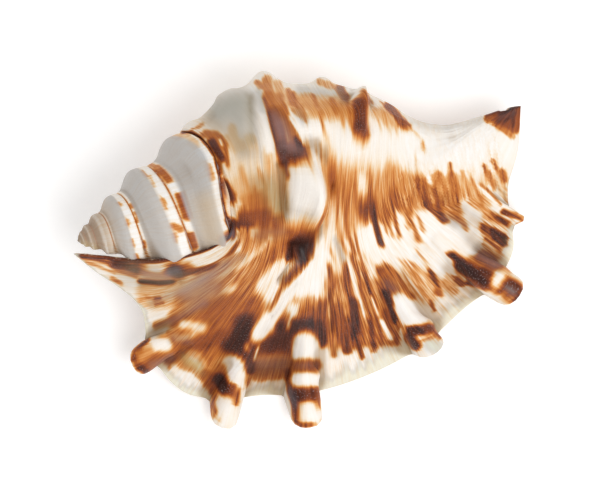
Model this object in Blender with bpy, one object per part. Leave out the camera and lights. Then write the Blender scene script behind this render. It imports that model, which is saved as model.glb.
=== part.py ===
"""Spider conch seashell, lying aperture down: one solid that grew as one piece.

The shell is two surfaces that meet along the suture. The core is the spire with the earlier
whorls and the columella below it. The skin is the last whorl: it grows out of the core on the
underside, passes round the left side and over the back, and flares into the wing-like outer
lip with its stubby fingers. Lengths below are in millimetres.
Frame: +X from the apex to the siphonal canal, +Z up, the flat spot of the callus on Z = 0.
"""

import math

import bmesh
import bpy
import numpy as np

MM = 0.001

# Growth of the body whorl, and the sutures where they cross the left side of the spire:
# distance from the apex and radius, one turn apart. The sixth is the last one.
GROWTH_PER_TURN = 1.5
SUTURES = [(0.8, 1.1), (2.0, 2.3), (4.4, 3.8), (8.4, 6.1), (15.3, 10.4), (26.3, 16.0),
           (39.5, 22.6), (47.5, 26.0)]
LAST_SUTURE = 39.5
TURNS_TO_LAST_SUTURE = 6
LEFT_SIDE = -90.0

# The axis slopes down towards the canal, and crosses (PIVOT_X, PIVOT_Z).
AXIS_TILT = math.radians(8.0)
PIVOT_X = 70.0
PIVOT_Z = 24.4
APEX_SHIFT = 1.2
APEX_SHIFT_END = 50.0

# Spire whorl profile: share of the radius added at each share of the way between two sutures.
SPIRE_PROFILE = [(0.0, 0.0), (0.1, -0.03), (0.2, -0.025), (0.32, 0.03), (0.44, 0.11),
                 (0.56, 0.155), (0.66, 0.15), (0.8, 0.085), (1.0, 0.0)]
LAST_STEP_SHARE = 0.55
SUTURE_GROOVE = 0.02

# The skin leaves the core at SKIN_START; angles turn from the left side (-90) over the back (0).
SKIN_START = -250.0
WHORL_ANGLES = (-250.0, -225.0, -195.0, -160.0, -125.0, -90.0, -55.0, -22.0)
BACK_FLATTENING = 0.05
COLUMELLA_RADIUS = 3.6
COLUMELLA_TIP_RADIUS = 1.0
COLUMELLA_END = 132.0
CORE_STARTS_TO_SHRINK = -240.0
CORE_SMALLEST = -160.0
CORE_FULL_AGAIN = 120.0
CORE_SMALLEST_SCALE = 0.60
CANAL_SHIFT = -5.0
CANAL_SHIFT_FROM, CANAL_SHIFT_TO = 95.0, 116.0
# Towards the canal the skin starts later on the underside, and stops sooner over the back.
CANAL_FROM, CANAL_TO = 92.0, 118.0
CANAL_UNDER_SHARE = 0.45
CANAL_WALL_FROM = 80.0
CANAL_WALL_INSET = 1.2
CANAL_TIP_FROM, CANAL_TIP_TO = 118.0, 134.0
CANAL_BACK_SHARE = 0.25

# Spiral lines of the last whorl, from the suture to the canal: distance from the apex and
# radius at the left side, then three points on the wing: root, middle and edge.
SPIRAL_LINES = [
    # name, along, radius, root, middle, edge
    ("suture", 39.5, 22.6, (44.4, -10.4, 49.8), (24.0, -12.2, 38.6), (-1.6, -2.6, 32.0)),
    ("rim", 41.4, 24.4, (45.6, -12.8, 50.2), (24.6, -16.0, 36.6), (1.6, -7.6, 28.4)),
    ("ramp", 47.0, 25.6, (46.9, -15.2, 49.5), (26.6, -22.8, 32.0), (12.3, -23.4, 22.5)),
    ("finger_2", 54.0, 29.0, (50.6, -18.0, 47.0), (27.4, -32.0, 22.0), (11.2, -37.2, 12.0)),
    ("gap_2", 61.0, 30.2, (54.2, -20.6, 44.5), (33.0, -40.5, 16.0), (18.4, -53.2, 4.0)),
    ("finger_3", 67.0, 29.4, (59.4, -22.4, 42.5), (41.4, -44.2, 15.0), (28.0, -57.6, 3.2)),
    ("gap_3", 72.0, 28.2, (63.4, -24.4, 39.5), (49.7, -45.8, 13.5), (39.8, -60.2, 0.9)),
    ("finger_4", 78.0, 26.2, (67.4, -24.0, 39.0), (57.0, -47.4, 14.0), (49.9, -63.0, 2.6)),
    ("gap_4", 85.0, 24.4, (75.8, -22.4, 38.0), (72.2, -46.4, 13.5), (72.0, -63.8, 0.9)),
    ("finger_5", 92.0, 20.6, (84.3, -20.2, 35.5), (86.4, -41.4, 15.0), (90.6, -60.0, 3.2)),
    ("gap_5", 97.0, 17.4, (91.4, -17.8, 33.0), (97.6, -37.8, 14.0), (105.4, -53.4, 0.9)),
    ("finger_6", 102.0, 14.0, (98.5, -15.4, 30.0), (106.6, -33.0, 14.5), (116.6, -48.6, 4.2)),
    ("gap_6", 106.5, 10.4, (104.1, -12.6, 27.0), (114.6, -26.2, 13.6), (125.0, -40.6, 4.0)),
    ("finger_7", 110.5, 8.4, (111.4, -9.6, 25.6), (119.8, -19.4, 16.4), (128.6, -31.6, 7.0)),
    ("notch", 117.0, 6.4, (118.4, -6.2, 24.0), (124.0, -13.2, 18.0), (129.0, -22.4, 9.4)),
    ("canal_side", 126.0, 5.8, (127.8, -2.6, 20.4), (131.4, -6.8, 17.6), (134.8, -13.2, 12.0)),
    ("canal", 134.0, 5.8, (136.0, 0.3, 17.0), (138.0, 0.3, 15.8), (140.0, 0.0, 14.0)),
]

# Fingers of the lip: the line each one continues, its tip, its width at the edge and the
# height of its arch.
FINGERS = [
    ("finger_2", (5.6, -39.6, 14.5), 7.4, 3.6),
    ("finger_3", (26.4, -65.0, 7.5), 7.0, 3.6),
    ("finger_4", (49.2, -72.4, 8.0), 7.4, 4.2),
    ("finger_5", (92.6, -62.4, 6.6), 8.0, 4.4),
    ("finger_6", (121.6, -53.8, 10.0), 6.6, 4.2),
    ("finger_7", (131.2, -32.4, 8.0), 5.0, 1.6),
]

# Knobs of the last whorl: distance from the apex and angle of the middle, length round the
# whorl, width along it, height, and slant.
KNOBS = [
    ("shoulder_left", 67.8, -86.0, 12.0, 8.0, 2.4, 0.0),
    ("shoulder_back", 68.6, 13.0, 19.0, 9.6, 6.4, 0.07),
    ("shoulder_under", 66.4, -150.0, 12.0, 7.0, 1.6, 0.0),
    ("tubercle", 91.2, -44.0, 13.5, 4.6, 4.2, -0.3),
    ("small_left", 84.5, -84.0, 7.5, 5.0, 1.8, 0.0),
    ("small_under", 84.5, -140.0, 7.0, 5.0, 1.2, 0.0),
    ("keel", 67.6, -60.0, 84.0, 7.6, 1.6, 0.0),
]

SKIN_THICKNESS = 2.0
EDGE_THICKNESS = 1.1
SKIN_ROWS_PER_SPAN = 9
SKIN_COLUMNS = 230
CORE_ROWS = 200
CORE_COLUMNS = 96
VOXEL = 0.55
TRIANGLES_WANTED = 9400
SHELL_COLOUR = (0.80, 0.62, 0.42, 1.0)


def smooth_step(x, low, high):
    share = np.clip((x - low) / (high - low), 0.0, 1.0)
    return share * share * (3.0 - 2.0 * share)


def growth(angle):
    """Size of the whorl at an angle, against its size on the left side."""
    return GROWTH_PER_TURN ** ((angle - LEFT_SIDE) / 360.0)


def axis_shift(along):
    """How far the axis lies to the left: a little at the apex, and to the right at the canal."""
    apex = APEX_SHIFT * (1.0 - smooth_step(along, 0.0, APEX_SHIFT_END))
    return apex + CANAL_SHIFT * smooth_step(along, CANAL_SHIFT_FROM, CANAL_SHIFT_TO)


def around_axis(along, radius, angle, shift):
    """Points at a distance from the apex, a radius and an angle round the tilted axis."""
    turn = np.radians(angle)
    up = radius * np.cos(turn)
    x = PIVOT_X + (along - PIVOT_X) * math.cos(AXIS_TILT) + up * math.sin(AXIS_TILT)
    y = shift - radius * np.sin(turn)
    z = PIVOT_Z - (along - PIVOT_X) * math.sin(AXIS_TILT) + up * math.cos(AXIS_TILT)
    return np.stack([x, y, z], axis=-1)


def hermite(knots, values, wanted):
    """Smooth curve through values at knots, read at the wanted places."""
    knots = np.asarray(knots, float)
    values = np.asarray(values, float)
    slopes = np.gradient(values, knots, axis=0)
    at = np.clip(np.searchsorted(knots, wanted, side="right") - 1, 0, len(knots) - 2)
    span = knots[at + 1] - knots[at]
    share = (wanted - knots[at]) / span
    shape = (-1,) + (1,) * (values.ndim - 1)
    share, span = share.reshape(shape), span.reshape(shape)
    near = (1 + 2 * share) * (1 - share) ** 2 * values[at]
    far = share ** 2 * (3 - 2 * share) * values[at + 1]
    near_slope = share * (1 - share) ** 2 * span * slopes[at]
    far_slope = share ** 2 * (share - 1) * span * slopes[at + 1]
    return near + near_slope + far + far_slope


def whorl_radius(along):
    """Radius of the last whorl at the left side."""
    places = [line[1] for line in SPIRAL_LINES]
    radii = [line[2] for line in SPIRAL_LINES]
    return np.interp(along, places, radii)


def whorl_number(along):
    """Turns of the spire at the left side: 0 at the last suture, less towards the apex."""
    places = [place for place, _ in SUTURES]
    numbers = np.arange(len(SUTURES)) - TURNS_TO_LAST_SUTURE
    return np.interp(along, places, numbers)


def suture_along(angle):
    """Distance from the apex to the last suture at an angle."""
    places = [place for place, _ in SUTURES]
    numbers = np.arange(len(SUTURES)) - TURNS_TO_LAST_SUTURE
    return np.interp((np.asarray(angle, float) - LEFT_SIDE) / 360.0, numbers, places)


def under_share(along):
    """How much of its turn under the shell the skin keeps: less towards the canal."""
    return 1.0 - (1.0 - CANAL_UNDER_SHARE) * smooth_step(along, CANAL_FROM, CANAL_TO)


def skin_angle(along, angle):
    """Angle of a point of the skin: drawn in towards the left side where the canal begins."""
    back = 1.0 - (1.0 - CANAL_BACK_SHARE) * smooth_step(along, CANAL_TIP_FROM, CANAL_TIP_TO)
    return LEFT_SIDE + (angle - LEFT_SIDE) * (under_share(along) if angle < LEFT_SIDE else back)


def control_points():
    """For each spiral line, its points round the whorl and then down the wing."""
    rows = []
    for _, along, radius, root, middle, edge in SPIRAL_LINES:
        points = []
        for wanted in WHORL_ANGLES:
            angle = skin_angle(along, wanted)
            scale = min(growth(angle), 1.0)
            advance = float(suture_along(angle)) - LAST_SUTURE * scale
            advance *= max(0.0, 1.0 - (along - LAST_SUTURE) / 28.0)
            flat = 1.0 - BACK_FLATTENING * smooth_step(angle, -70.0, -10.0)
            inset = 1.5 if wanted == SKIN_START else 0.0
            points.append(around_axis(along * scale + advance, radius * scale * flat - inset,
                                      angle, axis_shift(along)))
        rows.append(points + [np.array(root), np.array(middle), np.array(edge)])
    return np.array(rows, float)


def skin_columns(edges):
    """Where each spiral line lies across the skin, and the columns, by length along the edge."""
    steps = np.linalg.norm(np.diff(edges, axis=0), axis=1)
    places = np.concatenate([[0.0], np.cumsum(steps)])
    return places, np.linspace(0.0, places[-1], SKIN_COLUMNS)


def skin_grids():
    """Outer and inner surface of the last whorl and wing, as grids of columns and rows."""
    control = control_points()
    places, columns = skin_columns(control[:, -1])
    spans = control.shape[1] - 1
    rows = np.linspace(0.0, spans, spans * SKIN_ROWS_PER_SPAN + 1)
    across = hermite(places, control, columns)
    base = hermite(np.arange(spans + 1), across.transpose(1, 0, 2), rows).transpose(1, 0, 2)
    base[:, :, 2] = np.maximum(base[:, :, 2], 0.0)
    arch = np.zeros(base.shape[:2])
    names = [line[0] for line in SPIRAL_LINES]
    wing = rows[None, :] - (spans - 2)
    for name, tip, width, height in FINGERS:
        middle = places[names.index(name)]
        off = (columns[:, None] - middle) / (0.5 * width)
        finger = np.exp(-np.abs(off) ** 3.2)
        reach = smooth_step(wing, 1.25, 2.0) ** 1.3
        tip_from_edge = np.array(tip) - control[names.index(name), -1]
        base += (finger * reach)[:, :, None] * tip_from_edge
        ridge = np.exp(-np.abs(off * 0.9) ** 2.2)
        arch += height * ridge * smooth_step(wing, 0.7, 1.8)
    normals = grid_normals(base)
    outer = base + normals * (arch + knob_heights(base))[:, :, None]
    outer[:, :, 2] = np.maximum(outer[:, :, 2], 0.0)
    lift = normals * (0.8 * arch)[:, :, None]
    thin = smooth_step(rows, spans - 1.6, spans)
    thickness = SKIN_THICKNESS + (EDGE_THICKNESS - SKIN_THICKNESS) * thin
    inner = base + lift - normals * thickness[None, :, None]
    return outer, inner


def knob_heights(points):
    """Height of the knobs and the keel over the smooth whorl."""
    x, z = points[:, :, 0] - PIVOT_X, points[:, :, 2] - PIVOT_Z
    along = PIVOT_X + x * math.cos(AXIS_TILT) - z * math.sin(AXIS_TILT)
    up = x * math.sin(AXIS_TILT) + z * math.cos(AXIS_TILT)
    side = axis_shift(along) - points[:, :, 1]
    angle, radius = np.arctan2(side, up), np.hypot(side, up)
    total = np.zeros(along.shape)
    for _, middle, turned, length, width, height, slant in KNOBS:
        round_it = (angle - math.radians(turned)) * radius
        beside = (along - middle - slant * round_it) / (0.5 * width)
        total += height * np.exp(-np.abs(round_it / (0.5 * length)) ** 2.4 - np.abs(beside) ** 2.2)
    return total


def grid_normals(grid):
    """Outward normals of a grid of columns and rows."""
    across = np.gradient(grid, axis=0)
    along = np.gradient(grid, axis=1)
    normals = np.cross(along, across)
    length = np.linalg.norm(normals, axis=2, keepdims=True)
    return normals / np.maximum(length, 1e-9)


def spire_radius(along, angle):
    """Radius of the spire, stepped at each suture, and the turns since the last one."""
    whorls = whorl_number(along) - (angle - LEFT_SIDE) / 360.0
    share = whorls - np.floor(whorls)
    near_suture = np.exp(-(np.minimum(share, 1 - share) / 0.03) ** 2)
    step = np.interp(share, *zip(*SPIRE_PROFILE))
    step = step * (1 - (1 - LAST_STEP_SHARE) * smooth_step(along, 22.0, 30.0))
    step = (step - SUTURE_GROOVE * near_suture) * smooth_step(along, 0.5, 5.0)
    radius = np.interp(along, *zip((0.0, 0.0), *SUTURES))
    return radius * (1 + step), whorls


def earlier_whorl_radius(along, angle):
    """Radius of the whorl inside the last one, and of the columella it winds on."""
    shrink = smooth_step(angle, CORE_STARTS_TO_SHRINK, CORE_SMALLEST)
    swell = smooth_step(angle, CORE_SMALLEST, CORE_FULL_AGAIN)
    full = growth(CORE_STARTS_TO_SHRINK)
    scale = full + (CORE_SMALLEST_SCALE - full) * (shrink - swell)
    inside = whorl_radius(along / scale) * scale
    inside = inside * (1.0 - smooth_step(along / scale, CANAL_SHIFT_FROM, CANAL_TO))
    taper = smooth_step(along, CANAL_TO, COLUMELLA_END)
    pillar = COLUMELLA_RADIUS + (COLUMELLA_TIP_RADIUS - COLUMELLA_RADIUS) * taper
    return np.maximum(np.maximum(inside, pillar), canal_wall(along, angle) - 2.0 * taper)


def canal_wall(along, angle):
    """Radius of the wall that joins the columella to the starting edge of the skin."""
    angle = np.where(angle > 80.0, angle - 360.0, angle)
    scale = np.minimum(growth(angle), 1.0)
    line = along / scale
    past_start = angle - LEFT_SIDE - (SKIN_START - LEFT_SIDE) * under_share(line)
    beside = smooth_step(past_start, -25.0, 8.0) * (1.0 - smooth_step(past_start, 50.0, 100.0))
    skin = whorl_radius(line) * scale - CANAL_WALL_INSET
    return beside * smooth_step(line, CANAL_WALL_FROM, CANAL_FROM) * skin


def core_radius(along, angle):
    """Radius of the spire above the last suture, and of the earlier whorls below it."""
    spire, whorls = spire_radius(along, angle)
    inside = earlier_whorl_radius(along, angle)
    suture = suture_along(angle)
    past = smooth_step(along, suture + 0.3, suture + 2.2)
    covered = smooth_step(angle, 30.0, 110.0) * (whorls > -1)
    spire = spire * (1 - covered) + inside * covered
    return spire * (1 - past) + np.minimum(spire, inside) * past


def core_grid():
    """Rings of points round the axis, from the apex to the end of the columella."""
    share = np.linspace(0.0, 1.0, CORE_ROWS + 1)[1:]
    along = (COLUMELLA_END * share ** 1.5)[:, None]
    angle = np.linspace(CORE_STARTS_TO_SHRINK, CORE_STARTS_TO_SHRINK + 360.0,
                        CORE_COLUMNS, endpoint=False)[None, :]
    radius = core_radius(along, angle)
    rings = around_axis(along, radius, angle, axis_shift(along) * np.ones_like(angle))
    rings[:, :, 2] = np.maximum(rings[:, :, 2], 0.0)
    return rings


def grid_faces(mesh, grid, flip=False, closed=False):
    """Adds a grid of points to the mesh, with a quad between each four neighbours."""
    points = [[mesh.verts.new(p * MM) for p in column] for column in grid]
    count = len(grid[0])
    for i in range(len(grid) - 1):
        for j in range(count if closed else count - 1):
            k = (j + 1) % count
            quad = [points[i][j], points[i + 1][j], points[i + 1][k], points[i][k]]
            mesh.faces.new(quad[::-1] if flip else quad)
    return points


def strip_faces(mesh, first, second):
    """Joins two rows of points, which run the same way, with a strip of quads."""
    for i in range(len(first) - 1):
        mesh.faces.new([first[i], first[i + 1], second[i + 1], second[i]])


def new_object(name, mesh):
    bmesh.ops.recalc_face_normals(mesh, faces=mesh.faces)
    data = bpy.data.meshes.new(name)
    mesh.to_mesh(data)
    mesh.free()
    made = bpy.data.objects.new(name, data)
    bpy.context.scene.collection.objects.link(made)
    return made


def make_skin():
    outer, inner = skin_grids()
    mesh = bmesh.new()
    out = grid_faces(mesh, outer)
    into = grid_faces(mesh, inner, flip=True)
    strip_faces(mesh, out[0], into[0])
    strip_faces(mesh, into[-1], out[-1])
    strip_faces(mesh, [c[0] for c in into], [c[0] for c in out])
    strip_faces(mesh, [c[-1] for c in out], [c[-1] for c in into])
    return new_object("skin", mesh)


def make_core():
    rings = core_grid()
    mesh = bmesh.new()
    points = grid_faces(mesh, rings, closed=True)
    apex = mesh.verts.new(around_axis(0.0, 0.0, 0.0, 0.0) * MM)
    end = mesh.verts.new(rings[-1].mean(axis=0) * MM)
    count = len(points[0])
    for j in range(count):
        k = (j + 1) % count
        mesh.faces.new([apex, points[0][j], points[0][k]])
        mesh.faces.new([end, points[-1][k], points[-1][j]])
    return new_object("core", mesh)


def shell_material():
    material = bpy.data.materials.new("shell")
    material.use_nodes = True
    surface = material.node_tree.nodes["Principled BSDF"]
    surface.inputs["Base Color"].default_value = SHELL_COLOUR
    surface.inputs["Roughness"].default_value = 0.32
    surface.inputs["Metallic"].default_value = 0.0
    return material


def applied(obj):
    """Replaces an object's mesh with the result of its modifiers."""
    shape = obj.evaluated_get(bpy.context.evaluated_depsgraph_get())
    made = bpy.data.meshes.new_from_object(shape)
    obj.modifiers.clear()
    obj.data = made


def keep_largest_piece(obj):
    """Drops the small pockets and crumbs that are left where the core and skin meet."""
    mesh = bmesh.new()
    mesh.from_mesh(obj.data)
    left = set(mesh.verts)
    pieces = []
    while left:
        piece, edge = set(), [left.pop()]
        while edge:
            vert = edge.pop()
            piece.add(vert)
            near = {e.other_vert(vert) for e in vert.link_edges} & left
            left -= near
            edge.extend(near)
        pieces.append(piece)
    largest = max(pieces, key=len)
    bmesh.ops.delete(mesh, geom=[v for v in mesh.verts if v not in largest], context="VERTS")
    mesh.to_mesh(obj.data)
    mesh.free()


def fuse(core, skin):
    """One closed solid from the core and the skin, with few enough triangles."""
    mesh = bmesh.new()
    mesh.from_mesh(core.data)
    mesh.from_mesh(skin.data)
    shell = new_object("shell", mesh)
    for spare in (core, skin):
        bpy.data.objects.remove(spare)
    remesh = shell.modifiers.new("fuse", "REMESH")
    remesh.mode = "VOXEL"
    remesh.voxel_size = VOXEL * MM
    applied(shell)
    keep_largest_piece(shell)
    count = sum(len(face.vertices) - 2 for face in shell.data.polygons)
    decimate = shell.modifiers.new("reduce", "DECIMATE")
    decimate.ratio = TRIANGLES_WANTED / count
    decimate.use_collapse_triangulate = True
    applied(shell)
    return shell


def settle(shell):
    """Flattens the resting spot, and puts the middle of the shell over the origin."""
    for vertex in shell.data.vertices:
        vertex.co.z = max(vertex.co.z, 0.0)
    corners = np.array([vertex.co for vertex in shell.data.vertices])
    middle = 0.5 * (corners.min(axis=0) + corners.max(axis=0))
    for vertex in shell.data.vertices:
        vertex.co.x -= middle[0]
        vertex.co.y -= middle[1]


def main():
    for obj in list(bpy.data.objects):
        bpy.data.objects.remove(obj)
    shell = fuse(make_core(), make_skin())
    settle(shell)
    shell.data.shade_smooth()
    shell.data.materials.append(shell_material())


main()
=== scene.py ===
import math
import bpy
import numpy as np
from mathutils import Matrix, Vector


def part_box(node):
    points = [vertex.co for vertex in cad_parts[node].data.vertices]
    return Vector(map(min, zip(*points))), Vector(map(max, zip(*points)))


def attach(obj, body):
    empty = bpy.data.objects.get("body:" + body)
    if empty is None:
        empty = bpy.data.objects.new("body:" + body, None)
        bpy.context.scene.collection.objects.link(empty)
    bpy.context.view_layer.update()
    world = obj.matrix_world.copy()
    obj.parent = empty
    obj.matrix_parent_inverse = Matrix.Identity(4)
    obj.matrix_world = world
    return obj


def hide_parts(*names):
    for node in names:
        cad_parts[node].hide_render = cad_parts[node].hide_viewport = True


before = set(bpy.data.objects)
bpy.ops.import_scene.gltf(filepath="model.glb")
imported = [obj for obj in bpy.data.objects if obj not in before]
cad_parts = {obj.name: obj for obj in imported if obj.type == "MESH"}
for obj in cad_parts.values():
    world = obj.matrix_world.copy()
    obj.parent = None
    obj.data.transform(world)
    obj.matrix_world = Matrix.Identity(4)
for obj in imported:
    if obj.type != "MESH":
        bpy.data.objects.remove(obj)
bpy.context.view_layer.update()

# a spider conch shell, lying aperture down and seen from straight above
# lengths are in millimetres until a mesh is filled, X runs from the apex to the canal

mm = 0.001
mapUnit = 0.1    # the UV map is in centimetres

photo = {
    "width": 612, "height": 488,     # the picture's size in pixels
    "apex": (77.0, 245.0),           # where the apex is in it
    "turned": math.radians(17.35),   # how far the shell's long axis rises to the right
    "scale": 0.3003,                 # millimetres to a pixel at the middle height
    "middleHeight": 17.0,
    "cameraHeight": 3000.0,
}

growthRule = {
    "perTurn": 1.5, "leftSide": -90.0, "skinStart": -250.0, "startInset": 1.5,
    "sutures": [(0.8, 1.1), (2.0, 2.3), (4.4, 3.8), (8.4, 6.1), (15.3, 10.4), (26.3, 16.0),
                (39.5, 22.6), (47.5, 26.0)],
    "lastSuture": 39.5, "turnsToLast": 6,
    "bulge": (4.2, -38.0, 22.0, 27.0, 38.0),    # height, angle, reach, from and to along the axis
    "tilt": math.radians(8.0), "pivotX": 70.0, "pivotZ": 24.4,
    "apexShift": 1.2, "apexShiftEnd": 50.0,
    "canalShift": -5.0, "canalShiftFrom": 95.0, "canalShiftTo": 116.0,
    "canalFrom": 92.0, "canalTo": 118.0, "canalUnder": 0.45,
    "tipFrom": 118.0, "tipTo": 134.0, "tipBack": 0.25,
    "angles": (-250.0, -225.0, -195.0, -160.0, -125.0, -90.0, -55.0, -22.0),
    "flatBack": 0.05, "flatAngles": (-70.0, -10.0), "advanceFade": 28.0,
}

# how the spire's sutures lag behind an even turn: by how many turns, between which angles the
# lag grows and goes, and at which whorls it sets in, lessens and ends
sutureDelay = {
    "turns": 0.2, "grows": (-50.0, 70.0), "goes": (150.0, 270.0), "setsIn": (-6.0, -4.0),
    "lesser": 0.8, "lessens": (-2.0, -1.2), "ends": (-0.6, 0.0), "passes": 3,
}

# spiral lines of the last whorl: distance from the apex and radius at the left side,
# then the wing's root, middle and edge
spiralLines = [
    ("suture", 39.5, 22.6, (44.4, -10.4, 49.8), (24.0, -12.2, 39.8), (-1.6, -2.6, 32.0)),
    ("rim", 41.4, 24.4, (45.6, -12.8, 50.2), (24.6, -16.0, 37.8), (1.6, -7.6, 28.4)),
    ("ramp", 47.0, 25.6, (46.9, -15.2, 49.5), (26.6, -22.8, 32.0), (12.3, -23.4, 22.5)),
    ("finger2", 54.0, 29.0, (50.6, -18.0, 47.0), (27.4, -32.0, 22.0), (11.2, -37.2, 12.0)),
    ("gap2", 61.0, 30.2, (54.2, -20.6, 44.5), (33.0, -40.5, 16.0), (18.4, -53.2, 4.0)),
    ("finger3", 67.0, 29.4, (59.4, -22.4, 42.5), (41.4, -44.2, 15.0), (28.0, -57.6, 3.2)),
    ("gap3", 72.0, 28.2, (63.4, -24.4, 39.5), (49.7, -45.8, 13.5), (39.8, -60.2, 0.9)),
    ("finger4", 78.0, 26.2, (67.4, -24.0, 39.0), (57.0, -47.4, 14.0), (49.9, -63.0, 2.6)),
    ("gap4", 85.0, 24.4, (75.8, -22.4, 38.0), (72.2, -46.4, 13.5), (72.0, -63.8, 0.9)),
    ("finger5", 92.0, 20.6, (84.3, -20.2, 35.5), (86.4, -41.4, 15.0), (90.6, -60.0, 3.2)),
    ("gap5", 97.0, 17.4, (91.4, -17.8, 33.0), (97.6, -37.8, 14.0), (105.4, -53.4, 0.9)),
    ("finger6", 102.0, 14.0, (98.5, -15.4, 30.0), (106.6, -33.0, 14.5), (116.6, -48.6, 4.2)),
    ("gap6", 106.5, 10.4, (104.1, -12.6, 27.0), (114.6, -26.2, 13.6), (125.0, -40.6, 4.0)),
    ("finger7", 110.5, 8.4, (111.4, -9.6, 25.6), (119.4, -19.4, 16.4), (126.9, -31.4, 7.0)),
    ("notch", 117.0, 6.4, (118.4, -6.2, 24.0), (124.0, -13.2, 18.0), (129.0, -22.4, 9.4)),
    ("canalSide", 126.0, 5.8, (127.8, -2.6, 20.4), (131.4, -6.8, 17.6), (134.8, -13.2, 12.0)),
    ("canal", 134.0, 5.8, (136.0, 0.3, 17.0), (138.0, 0.3, 15.8), (140.0, 0.0, 14.0)),
]

# fingers of the lip: tip, width at the edge, height of the arch, squareness of the end
# their form is in widths beside the middle and in rows past the wing's root
fingers = {
    "finger2": ((6.2, -39.2, 14.5), 7.4, 3.6, 3.6),
    "finger3": ((25.8, -64.2, 7.5), 6.0, 3.4, 3.0),
    "finger4": ((50.0, -71.4, 8.0), 6.4, 4.0, 5.0),
    "finger5": ((92.6, -61.8, 6.6), 6.6, 3.8, 3.0),
    "finger6": ((121.0, -53.2, 10.0), 6.4, 4.2, 4.0),
    "finger7": ((130.9, -32.8, 7.6), 3.6, 0.7, 1.5),
}
fingerForm = {
    "reachWidth": 1.04, "reachRows": (1.25, 2.0), "reachPower": 1.3,
    "archWidth": 0.9, "archRows": (0.7, 1.8), "archPower": 2.2, "archInside": 0.8,
}

# knobs: distance from the apex, angle, length round the whorl, width, height, slant
knobs = {
    "shoulderLeft": (67.8, -86.0, 12.0, 8.0, 2.4, 0.0),
    "shoulderBack": (68.6, 13.0, 19.0, 9.6, 6.4, 0.07),
    "shoulderUnder": (66.4, -150.0, 12.0, 7.0, 1.6, 0.0),
    "tubercle": (91.2, -44.0, 13.5, 4.6, 4.2, -0.3),
    "smallLeft": (84.5, -84.0, 7.5, 5.0, 1.8, 0.0),
    "smallUnder": (84.5, -140.0, 7.0, 5.0, 1.2, 0.0),
    "keel": (67.6, -60.0, 84.0, 7.6, 1.6, 0.0),
}
knobSquareness = (2.4, 2.2)    # round the whorl and along the shell, 2 is round

skinMesh = {
    "thickness": 2.0, "edgeThickness": 1.1, "thinRows": 1.6, "edgeRound": 0.8,
    "rowsPerSpan": (6, 6, 6, 9, 15, 18, 18, 18, 40, 46),
    "lastRows": (0.012, 0.007, 0.0025, 0.0),    # rows close before the lip
    "columns": 342, "innerRowStep": 3, "innerColumnStep": 3, "samples": 4000,
    "crowdAtFingers": (2.2, 0.95, 0.4),    # how much closer, how far beside, over what width
    "crowdAtEnds": (6.0, 0.5),             # how much closer, over what width
    "seam": 0.0004,    # how close two rim points are when they are one
    "slitSides": 6,    # slits with up to so many sides are filled
}

# fine relief: height in millimetres, width of a lump, lumps to a row, seed
relief = {
    "cords": (0.14, 1.7, 0.3, 51), "growthLines": (0.10, 14.0, 9.0, 52), "cordRows": (4.5, 8.0),
    "shownFrom": (4.7, 5.2), "shownTo": (0.15, 0.02),    # rows, and rows before the lip
}

coreMesh = {
    "rowsPerWhorl": (6, 8, 12, 16, 24, 32), "rowsInside": 40, "columns": 132,
    "insideRatio": 1.6, "columellaEnd": 132.0, "columella": 3.6, "columellaTip": 1.0,
    "shrinkFrom": -240.0, "smallest": -160.0, "fullAgain": 120.0, "smallestScale": 0.60,
    "wallFrom": 80.0, "wallInset": 1.2, "wallTurn": 80.0, "wallStart": (-25.0, 8.0),
    "wallEnd": (50.0, 100.0), "wallTaper": 2.0,
    "pastSuture": (0.3, 2.2), "coveredAngles": (30.0, 110.0), "levelAngles": (20.0, 120.0),
    "apexRows": (0.6, -0.02), "stepsFrom": (0.2, 1.8), "lastProfileFrom": (22.0, 30.0),
    "profile": [(0.0, 0.0), (0.08, -0.035), (0.17, -0.04), (0.25, 0.0), (0.32, 0.06), (0.4, 0.125),
                (0.47, 0.17), (0.55, 0.165), (0.64, 0.135), (0.75, 0.09), (0.86, 0.05), (1.0, 0.0)],
    "lastProfile": [(0.0, 0.0), (0.1, -0.045), (0.23, -0.065), (0.4, -0.02), (0.5, 0.05),
                    (0.58, 0.085), (0.66, 0.09), (0.8, 0.055), (0.92, 0.025), (1.0, 0.0)],
    "groove": 0.05, "grooveWidth": 0.035,    # the sutures
    "crowding": 0.55,    # how far the rows crowd at the sutures
    "endSides": 400,     # openings at its ends with up to so many sides are filled
    "mapRadius": 18.0, "mapPlace": 300.0,    # its place in the UV map, beside the skin's
}


def smoothStep(x, low, high):
    share = np.clip((x - low) / (high - low), 0.0, 1.0)
    return share * share * (3.0 - 2.0 * share)


def growth(angle):    # size of the whorl at an angle, against its size on the left side
    return growthRule["perTurn"] ** ((angle - growthRule["leftSide"]) / 360.0)


def axisShift(along):
    rule = growthRule
    apex = rule["apexShift"] * (1.0 - smoothStep(along, 0.0, rule["apexShiftEnd"]))
    return apex + rule["canalShift"] * smoothStep(along, rule["canalShiftFrom"], rule["canalShiftTo"])


def aroundAxis(along, radius, angle, shift):
    rule, turn = growthRule, np.radians(angle)
    up = radius * np.cos(turn)
    x = rule["pivotX"] + (along - rule["pivotX"]) * math.cos(rule["tilt"]) + up * math.sin(rule["tilt"])
    y = shift - radius * np.sin(turn)
    z = rule["pivotZ"] - (along - rule["pivotX"]) * math.sin(rule["tilt"]) + up * math.cos(rule["tilt"])
    return np.stack([x, y, z], axis=-1)


def fromAxis(points):    # distance from the apex, radius and angle of points
    rule = growthRule
    x, z = points[..., 0] - rule["pivotX"], points[..., 2] - rule["pivotZ"]
    along = rule["pivotX"] + x * math.cos(rule["tilt"]) - z * math.sin(rule["tilt"])
    up = x * math.sin(rule["tilt"]) + z * math.cos(rule["tilt"])
    side = axisShift(along) - points[..., 1]
    return along, np.hypot(side, up), np.degrees(np.arctan2(side, up))


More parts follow.
